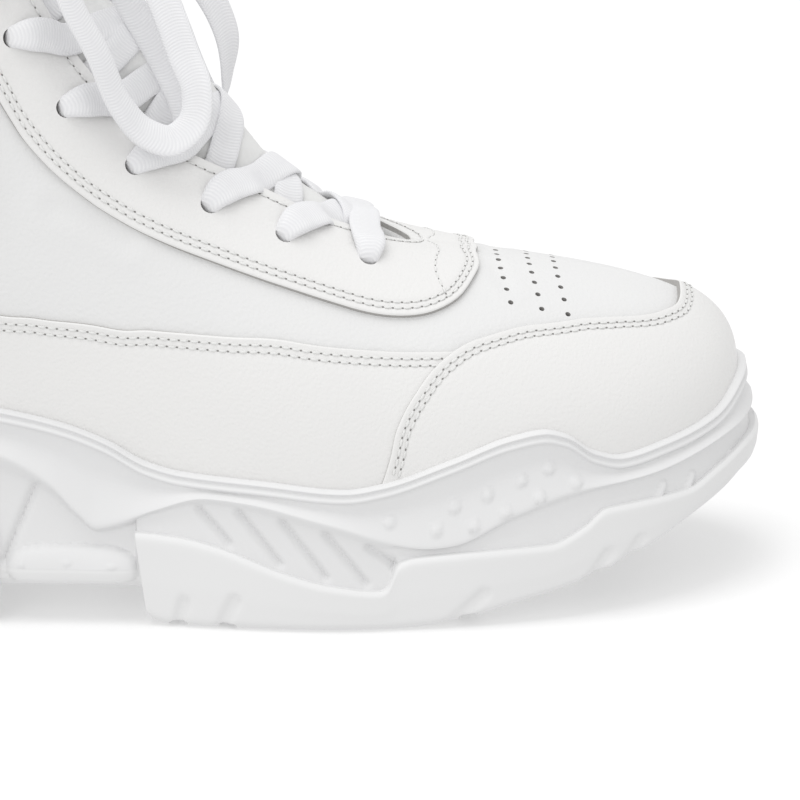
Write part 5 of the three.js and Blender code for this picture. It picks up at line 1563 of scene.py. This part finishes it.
@dataclass
class Tongue:
    """Padded tongue with a seam round its raised pad and a rounded top above the collar."""

    columns: int = 65
    body_rows: int = 110
    top_rows: int = 22
    tip_rows: int = 6
    tip_wing: float = 12.0
    tip_back: float = 2.5
    before_top: float = 12.0
    top_half: float = 0.45
    top_bow: float = 4.5
    pad_foot: float = 43.0
    pad_round: float = 12.0
    pad_half: float = 1.45
    pad_rise: float = 0.9
    seam_depth: float = 0.7

    def sheet(self, depth_share: float) -> Array:
        """One face of the tongue: tip, body under the throat's edges, and free top."""
        c = np.linspace(-4, 4, self.columns)
        side = np.where(c < 0, -1.0, 1.0)
        step = np.abs(c)
        body_run = np.linspace(TONGUE_FRONT, THROAT.length, self.body_rows)
        thin = np.sqrt(np.clip(1 - (step / 4.02) ** 6, 0.02, 1))
        depth = TONGUE_THICKNESS * (0.5 + (depth_share - 0.5) * thin)
        body = self.body(body_run[:, None] + 0 * c[None], c, side, step, depth)
        if depth_share == 0:
            body = body - self.seams(body_run, c)[..., None] * crown_direction(body_run)[:, None]
        tip = tucked(side, step / 4 * self.tip_back, mix(self.tip_wing, TONGUE_WING, step / 4), depth)
        tips = mix(tip[None], body[0][None], np.linspace(0, 1, self.tip_rows, endpoint=False)[:, None, None])
        last = body[-1]
        along = unit(last - self.body(THROAT.length - self.before_top + 0 * c, c, side, step, depth))
        share = np.linspace(0, 1, self.top_rows + 1)[1:, None]
        middle = last[self.columns // 2]
        facing = crown_direction(np.array([THROAT.length]))[0]
        half = self.top_half * np.linalg.norm(last[-1] - last[0])
        arc = middle - facing * (self.top_bow * (c / 4) ** 2)[:, None]
        arc[:, 1] += c / 4 * half
        rise = TONGUE_TOP * share * mix(1.0, 0.55, (step[None] / 4) ** 4)
        closing = 1 - 0.92 * ease((share - 0.82) / 0.18)
        along = mix(along, along[self.columns // 2], 0.8)
        top = mix(last[None], arc[None], ease(share / 0.85)[..., None]) + along[None] * rise[..., None]
        sign = (0.5 - depth_share) * TONGUE_THICKNESS
        top -= facing * sign * (1 - closing[..., None])
        return np.concatenate([tips, body, top])

    @staticmethod
    def body(run: Array, c: Array, side: Array, step: Array, depth: Array) -> Array:
        """The part under the throat: an arch between the edges and two wings beneath them."""
        run = np.asarray(run, dtype=float)
        shape = run.shape
        across = np.clip(0.5 + 0.25 * c, 0, 1) + np.zeros(shape)
        arch = crown_point(run, across, -depth + np.zeros(shape))
        inward = mix(CROWN_IN, TONGUE_WING, np.clip(step / 2 - 1, 0, 1)) + np.zeros(shape)
        wing = tucked(side + np.zeros(shape), run, inward, depth + np.zeros(shape))
        return np.where((step < 2)[..., None], arch, wing)

    def seams(self, run: Array, c: Array) -> Array:
        """Depth of the seam round the raised pad: an upright U with a round foot, raised inside it."""
        side = self.pad_half * np.sqrt(np.clip((run[:, None] - self.pad_foot) / self.pad_round, 0, 1))
        away = (np.abs(c)[None] - side) * 6.5
        inside = np.where(run[:, None] > self.pad_foot, ease(-away / 1.6), 0.0)
        line = np.exp(-(away / 0.8) ** 2) * (run[:, None] > self.pad_foot - 1)
        return self.seam_depth * line - self.pad_rise * inside

    def build(self, wardrobe: Wardrobe) -> None:
        """Joins the tongue's two faces round their borders."""
        face, back = self.sheet(0.0), self.sheet(1.0)
        skin = Skin()
        top = skin.grid(face, 0)
        low = skin.grid(back, 1, flip=True)
        for upper_row, lower_row in ((top[0], low[0]), (low[-1], top[-1]), (low[:, 0], top[:, 0]),
                                     (top[:, -1], low[:, -1])):
            skin.join(np.stack([lower_row, upper_row]), 0)
        piece = skin.build("tongue_pad", wardrobe.pick(Finish.TONGUE, Finish.LINING), 60.0)
        dress(piece, "tongue", "tongue")


@dataclass
class Ribbon:
    """A flat lace carried along a path, with its own width and thickness at each place."""

    sides: int = 18

    def add(self, skin: Skin, path: Array, across: Array, width: Array, thick: Array) -> None:
        """Adds a closed flat tube.

        Args:
            skin: the mesh in the making.
            path: points of the middle line.
            across: the direction that the width lies in at each point.
            width: widths at each point.
            thick: thicknesses at each point.
        """
        along = unit(np.gradient(path, axis=0))
        flat = unit(across - (across * along).sum(-1, keepdims=True) * along)
        up = np.cross(along, flat)
        angle = 2 * math.pi * np.arange(self.sides) / self.sides
        cos, sin = np.cos(angle), np.sin(angle)
        w = np.sign(cos) * np.abs(cos) ** 0.55
        h = np.sign(sin) * np.abs(sin) ** 0.75
        points = (path[:, None] + flat[:, None] * (w[None] * width[:, None] / 2)[..., None]
                  + up[:, None] * (h[None] * thick[:, None] / 2)[..., None])
        rows = len(path)
        numbers = skin.add_points(points) + np.arange(rows * self.sides).reshape(rows, self.sides)
        nxt = np.roll(numbers, -1, axis=1)
        run = run_along(path)
        seam = np.linspace(0, 2 * (LACE_WIDTH + LACE_THICKNESS), self.sides + 1)
        u0, u1 = np.broadcast_arrays(run[:-1, None], run[1:, None])
        v0, v1 = (np.broadcast_to(v, (rows - 1, self.sides)) for v in (seam[:-1], seam[1:]))
        u0, u1 = np.broadcast_to(u0, v0.shape), np.broadcast_to(u1, v0.shape)
        uv = np.stack([np.stack([u0, v0], -1), np.stack([u0, v1], -1), np.stack([u1, v1], -1),
                       np.stack([u1, v0], -1)], -2)
        skin.add_quads(np.stack([numbers[:-1], nxt[:-1], nxt[1:], numbers[1:]], -1), 0, uv)
        skin.fan(numbers[0], points[0].mean(0), flip=True)
        skin.fan(numbers[-1], points[-1].mean(0))

    def run_through(self, skin: Skin, keys: Sequence[Sequence[float]], count: int) -> Array:
        """Adds a lace through keys (point, across direction, width, thickness) and returns its path."""
        fine = smooth_path(keys, count)
        self.add(skin, fine[:, :3], fine[:, 3:6], fine[:, 6], fine[:, 7])
        return fine[:, :3]


@dataclass
class Laces:
    """The lacing: a bar over the front holes and crossings that end in the holes and under the far edge."""

    ribbon: Ribbon = field(default_factory=Ribbon)

    # beside the edge: share of the way to the next pair, distance from the edge, lift, width, thickness
    EDGE_STOPS = [(0.06, HOLE_INSET - 3.0, 1.7, 7.7, 2.7), (0.2, HOLE_INSET - 7.0, 1.5, 8.6, 2.0),
                  (0.37, 2.6, 1.3, 8.2, 1.5)]
    # over the tongue: share of the way, place across, part of the height over the twin strand
    TONGUE_STOPS = [(0.56, 0.14, 0.0), (0.68, 0.3, 0.7), (0.8, 0.5, 0.9), (0.9, 0.7, 0.7), (0.98, 0.88, 0.0)]
    # the bar: distance from the edge, lift, width, thickness
    BAR_STOPS = [(HOLE_INSET - 0.5, -2.4, 4.2, 2.6), (HOLE_INSET - 0.5, OVERLAY_TOP + 0.2, 5.6, 2.9),
                 (HOLE_INSET - 3.0, OVERLAY_TOP + 1.7, 7.7, 2.7),
                 (HOLE_INSET - 7.0, OVERLAY_TOP + 1.5, 8.6, 2.0), (1.5, OVERLAY_TOP + 1.2, 8.2, 1.5)]

    @staticmethod
    def run_of(index: int) -> float:
        """Distance of a pair of holes from the throat's front."""
        return FIRST_HOLE + index * HOLE_SPACING

    @staticmethod
    def beside(side: int, run: float, inward: float, lift: float) -> tuple[Array, Array]:
        """A point beside the edge and the direction its face looks."""
        s, r, i = np.array([side]), np.array([run]), np.array([inward])
        turn, rise = THROAT.beside(s, r, i)
        return lifted(turn, rise, np.array([lift]))[0], face_direction(turn, rise)[0]

    def strand_keys(self, side: int, index: int, over: float) -> list[list[float]]:
        """Keys of one strand: out of a hole, over its edge, over the tongue and under the far edge.

        Args:
            side: the side of the hole that the strand fills.
            index: number of the hole's pair.
            over: how much higher the strand crosses its twin.

        Returns:
            Keys for a ribbon.
        """
        start, end = self.run_of(index), self.run_of(index - 1)
        hole, face = self.beside(side, start, HOLE_INSET - 0.5, 0.0)
        places = [(hole - face * 2.4, face, 4.2, 2.6), (hole + face * (OVERLAY_TOP + 0.2), face, 5.6, 2.9)]
        for share, inward, lift, width, thick in self.EDGE_STOPS:
            point, look = self.beside(side, mix(start, end, share), inward, OVERLAY_TOP + lift)
            places.append((point, look, width, thick))
        for share, across, extra in self.TONGUE_STOPS:
            run = mix(start, end, share)
            place = across if side < 0 else 1 - across
            point = crown_point([run], [place], [0.85 + over * extra])[0]
            around = crown_point([run, run, run + 0.5, run - 0.5],
                                 [place + 0.02, place - 0.02, place, place], [1.1])
            look = unit(np.cross(around[0] - around[1], around[2] - around[3]))
            places.append((point, look, LACE_WIDTH, LACE_THICKNESS))
        places.append((*self.beside(-side, mix(start, end, 1.03), 3.5, -UPPER_WALL - 0.75), LACE_WIDTH, 1.1))
        along = unit(np.gradient(np.array([place[0] for place in places]), axis=0))
        along[:2] = along[2]
        looks = np.array([place[1] for place in places])
        looks *= np.where((looks * crown_direction(np.array([start]))[0]).sum(-1) < 0, -1.0, 1.0)[:, None]
        across = unit(np.cross(looks, along))
        return [[*place[0], *across[i], place[2], place[3]] for i, place in enumerate(places)]

    def build(self, wardrobe: Wardrobe) -> None:
        """Makes the bar and one piece for each pair of crossed strands."""
        for index in range(1, HOLE_COUNT):
            skin = Skin()
            for side in (-1, 1):
                over = 1.2 if (index % 2 == 0) == (side < 0) else -0.1
                self.ribbon.run_through(skin, self.strand_keys(side, index, over), 76)
            piece = skin.build(f"lace_strands_{index}", wardrobe.pick(Finish.LACE), 60.0)
            dress(piece, "lace", f"lace_crossing_{index}")
        skin = Skin()
        self.ribbon.run_through(skin, self.bar_keys(), 72)
        dress(skin.build("lace_front_bar", wardrobe.pick(Finish.LACE), 60.0), "lace", "lace_bar")

    def bar_keys(self) -> list[list[float]]:
        """Keys of the bar over the front pair of holes."""
        run = self.run_of(0)
        near, far = ([(self.beside(side, run, inward, lift)[0], width, thick)
                      for inward, lift, width, thick in self.BAR_STOPS] for side in (-1, 1))
        over = [(crown_point([run], [across], [1.4 + UPPER_WALL])[0], LACE_WIDTH, LACE_THICKNESS)
                for across in (0.3, 0.5, 0.7)]
        return [[*point, 1.0, 0.0, -0.25, width, thick] for point, width, thick in near + over + far[::-1]]


@dataclass
class Bow:
    """The bow: a wrapped knot, two hanging loops and two ends, as free flat laces."""

    ribbon: Ribbon = field(default_factory=Ribbon)
    knot_at: tuple[float, float, float] = (-29.0, 0.0, 187.0)
    knot_half: tuple[float, float, float] = (5.2, 6.8, 4.7)
    knot_width: float = 6.0

    # point and across direction of each key
    OUTER_LOOP = [
        (-29.0, -6.4, 188.0, 0.2, 0.3, 1.0), (-30.0, -18.0, 184.0, 0.3, 0.2, 1.0),
        (-27.0, -26.0, 170.0, 0.7, 0.5, 0.5), (-23.0, -29.5, 154.0, 0.6, 0.75, 0.3),
        (-16.5, -30.0, 141.0, 0.55, 0.7, 0.35), (-10.8, -30.0, 127.5, 0.5, 0.65, 0.45),
        (-5.5, -28.8, 121.0, 0.25, 0.5, 0.75), (1.2, -28.0, 118.6, -0.05, 0.4, 0.9),
        (6.4, -27.0, 122.6, -0.6, 0.4, 0.65), (7.4, -25.5, 131.0, -0.9, 0.3, 0.1),
        (4.6, -23.0, 138.5, -0.95, 0.1, -0.2), (1.7, -21.0, 146.7, -0.95, 0.05, -0.25),
        (-3.0, -18.0, 158.0, -0.95, 0.0, -0.3), (-12.0, -13.0, 172.0, -0.8, 0.2, -0.5),
        (-21.5, -7.0, 184.0, -0.6, 0.4, -0.6)]
    INNER_LOOP = [
        (-29.0, 6.8, 188.0, 0.2, -0.3, 1.0), (-26.0, 15.0, 183.0, 0.5, -0.4, 0.8),
        (-18.0, 17.0, 171.0, 0.8, -0.3, 0.5), (-8.0, 17.0, 159.0, 0.7, -0.5, 0.5),
        (-1.0, 16.0, 148.0, 0.6, -0.7, 0.4), (4.0, 15.0, 139.0, 0.5, -0.8, 0.3),
        (8.3, 14.0, 129.6, 0.3, -0.9, 0.2), (12.0, 14.0, 122.5, 0.2, -0.95, 0.1),
        (14.5, 14.0, 120.0, 0.0, -1.0, 0.1), (16.0, 14.0, 127.0, -0.4, -0.9, 0.0),
        (16.0, 14.0, 134.8, -0.7, -0.7, -0.1), (14.0, 14.0, 141.0, -0.8, -0.6, -0.1),
        (9.0, 13.5, 150.0, -0.85, -0.5, -0.2), (0.0, 12.0, 164.0, -0.8, -0.4, -0.4),
        (-10.0, 10.0, 176.0, -0.7, -0.4, -0.6), (-20.0, 6.4, 184.5, -0.6, -0.5, -0.6)]
    OUTER_END = [
        (-26.5, -2.4, 183.6, 0.6, -0.7, 0.3), (-18.0, -8.0, 168.0, 0.7, -0.6, 0.3),
        (-10.0, -11.0, 152.0, 0.8, -0.4, 0.35), (-4.0, -13.0, 142.0, 0.85, -0.3, 0.4),
        (1.0, -15.0, 133.0, 0.85, -0.3, 0.4), (4.5, -17.5, 125.0, 0.85, -0.3, 0.4),
        (6.0, -19.5, 118.5, 0.85, -0.3, 0.4)]
    INNER_END = [
        (-26.5, 2.4, 183.6, 0.6, 0.7, 0.3), (-21.0, 10.0, 168.0, 0.7, 0.6, 0.3),
        (-15.0, 17.0, 155.0, 0.7, 0.6, 0.3), (-11.0, 22.0, 143.0, 0.7, 0.6, 0.3),
        (-9.0, 25.0, 131.0, 0.7, 0.6, 0.3)]

    def knot(self, wardrobe: Wardrobe) -> bpy.types.Object:
        """The knot: a rounded bead whose slanted troughs show the turns of the wrapped lace."""
        u = np.linspace(0, math.pi, 41)[:, None]
        v = 2 * math.pi * np.arange(72)[None] / 72
        wrap = 1 - 0.16 * np.exp(-((np.sin(1.5 * v + 1.4 * np.cos(u))) / 0.16) ** 2)
        unit_ball = np.stack([np.sin(u) * np.cos(v), np.cos(u) + 0 * v, np.sin(u) * np.sin(v)], -1)
        swell = 1 + 0.06 * np.cos(2 * v) * np.sin(u)
        points = np.array(self.knot_at) + unit_ball * (wrap * swell)[..., None] * np.array(self.knot_half)
        skin = Skin()
        numbers = skin.grid(points[1:-1], wrap=True)
        skin.fan(numbers[0], points[0, 0], flip=True)
        skin.fan(numbers[-1], points[-1, 0])
        return dress(skin.build("lace_knot", wardrobe.pick(Finish.LACE), 60.0), "lace", "bow_knot")

    def build(self, wardrobe: Wardrobe) -> None:
        """Makes the knot and each loop and end as a flat lace piece of its own."""
        knot = self.knot(wardrobe)
        for name, keys, far in (("bow_loop_outer", self.OUTER_LOOP, "object"),
                                ("bow_loop_inner", self.INNER_LOOP, "object"),
                                ("lace_end_outer", self.OUTER_END, "bare"),
                                ("lace_end_inner", self.INNER_END, "bare")):
            skin = Skin()
            widths = [LACE_WIDTH] * len(keys)
            widths[0] = self.knot_width
            if far == "object":
                widths[-1] = self.knot_width
            full = [[*key, width, LACE_THICKNESS] for key, width in zip(keys, widths)]
            path = self.ribbon.run_through(skin, full, 150 if far == "object" else 60)
            piece = skin.build(f"lace_{name}", wardrobe.pick(Finish.LACE), 60.0)
            dress(piece, "lace", name)
            length = float(run_along(path)[-1])


@dataclass
class Studio:
    """White floor, soft lights and the camera at the photograph's angle."""

    azimuth: float = -3.0
    elevation: float = 16.0
    distance: float = 1500.0
    target: tuple[float, float, float] = (58.4617, 0.0, 43.923)
    lens: float = 267.5
    floor_half: float = 9000.0
    sky: float = 0.85

    def camera(self) -> None:
        """Places the camera on its ray to the target."""
        a, e = math.radians(self.azimuth), math.radians(self.elevation)
        back = Vector((math.sin(a) * math.cos(e), -math.cos(a) * math.cos(e), math.sin(e)))
        data = bpy.data.cameras.new("camera")
        data.lens = self.lens
        data.sensor_width = 36.0
        data.clip_end = 50.0
        camera = bpy.data.objects.new("camera", data)
        camera.location = Vector(self.target) * MM + back * self.distance * MM
        camera.rotation_euler = (-back).to_track_quat("-Z", "Y").to_euler()
        bpy.context.scene.collection.objects.link(camera)
        bpy.context.scene.camera = camera

    def floor(self) -> None:
        """A wide pale floor at the sole's level."""
        skin = Skin()
        reach = np.linspace(-self.floor_half, self.floor_half, 3)
        x, y = np.meshgrid(reach, reach)
        skin.grid(np.stack([x, y, 0 * x - 0.05], -1))
        material, n, shader = new_material("pale floor")
        place = n.add("ShaderNodeTexCoord").outputs["Object"]
        color = n.tint(n.noise(place, 1.2, 2.0), (0.97, 0.97, 0.97), (0.98, 0.98, 0.98))
        n.tree.links.new(color, shader.inputs["Base Color"])
        shader.inputs["Roughness"].default_value = 0.9
        shader.inputs["Specular IOR Level"].default_value = 0.1
        floor = skin.build("floor", [material])
        floor.visible_diffuse = False

    def light(self, name: str, place: tuple[float, float, float], size: float, power: float) -> None:
        """A soft square light that looks at the shoe."""
        data = bpy.data.lights.new(name, "AREA")
        data.size = size
        data.energy = power
        lamp = bpy.data.objects.new(name, data)
        lamp.location = place
        lamp.rotation_euler = (Vector((0.0, 0.0, 0.08)) - Vector(place)).to_track_quat("-Z", "Y").to_euler()
        bpy.context.scene.collection.objects.link(lamp)

    def build(self) -> None:
        """Sets the whole studio up."""
        self.camera()
        self.floor()
        world = bpy.data.worlds.new("studio")
        world.use_nodes = True
        background = world.node_tree.nodes["Background"]
        background.inputs["Color"].default_value = (1, 1, 1, 1)
        background.inputs["Strength"].default_value = self.sky
        bpy.context.scene.world = world
        bpy.context.scene.view_settings.view_transform = "Standard"
        self.light("top light", (-0.3, -0.2, 1.8), 1.3, 10.0)
        self.light("front light", (-0.9, -1.9, 1.0), 1.2, 6.5)


def main() -> None:
    """Builds the studio, the laces that hang free and then every other piece in order."""
    logging.basicConfig(level=logging.INFO, format="%(message)s")
    Studio().build()
    wardrobe = Wardrobe()
    Bow().build(wardrobe)
    Laces().build(wardrobe)
    punch = HolePunch()
    lace_pins = punch.pins(*lace_hole_places(), HOLE_DIAMETER / 2)
    air_pins = punch.pins(*air_hole_places(), AIR_HOLE_DIAMETER / 2)
    stitcher = Stitcher()
    Outsole().build(wardrobe)
    Midsole().build(wardrobe)
    Insole().build(wardrobe)
    Upper().build(wardrobe, punch, (lace_pins, air_pins))
    SideOverlay().build(wardrobe, stitcher)
    ToeCap().build(wardrobe, stitcher)
    Eyestay().build(wardrobe, stitcher, punch, lace_pins)
    Tongue().build(wardrobe)
    stitcher.build(wardrobe)
    for pin in (lace_pins, air_pins):
        bpy.data.objects.remove(pin)


if __name__ == "__main__":
    main()
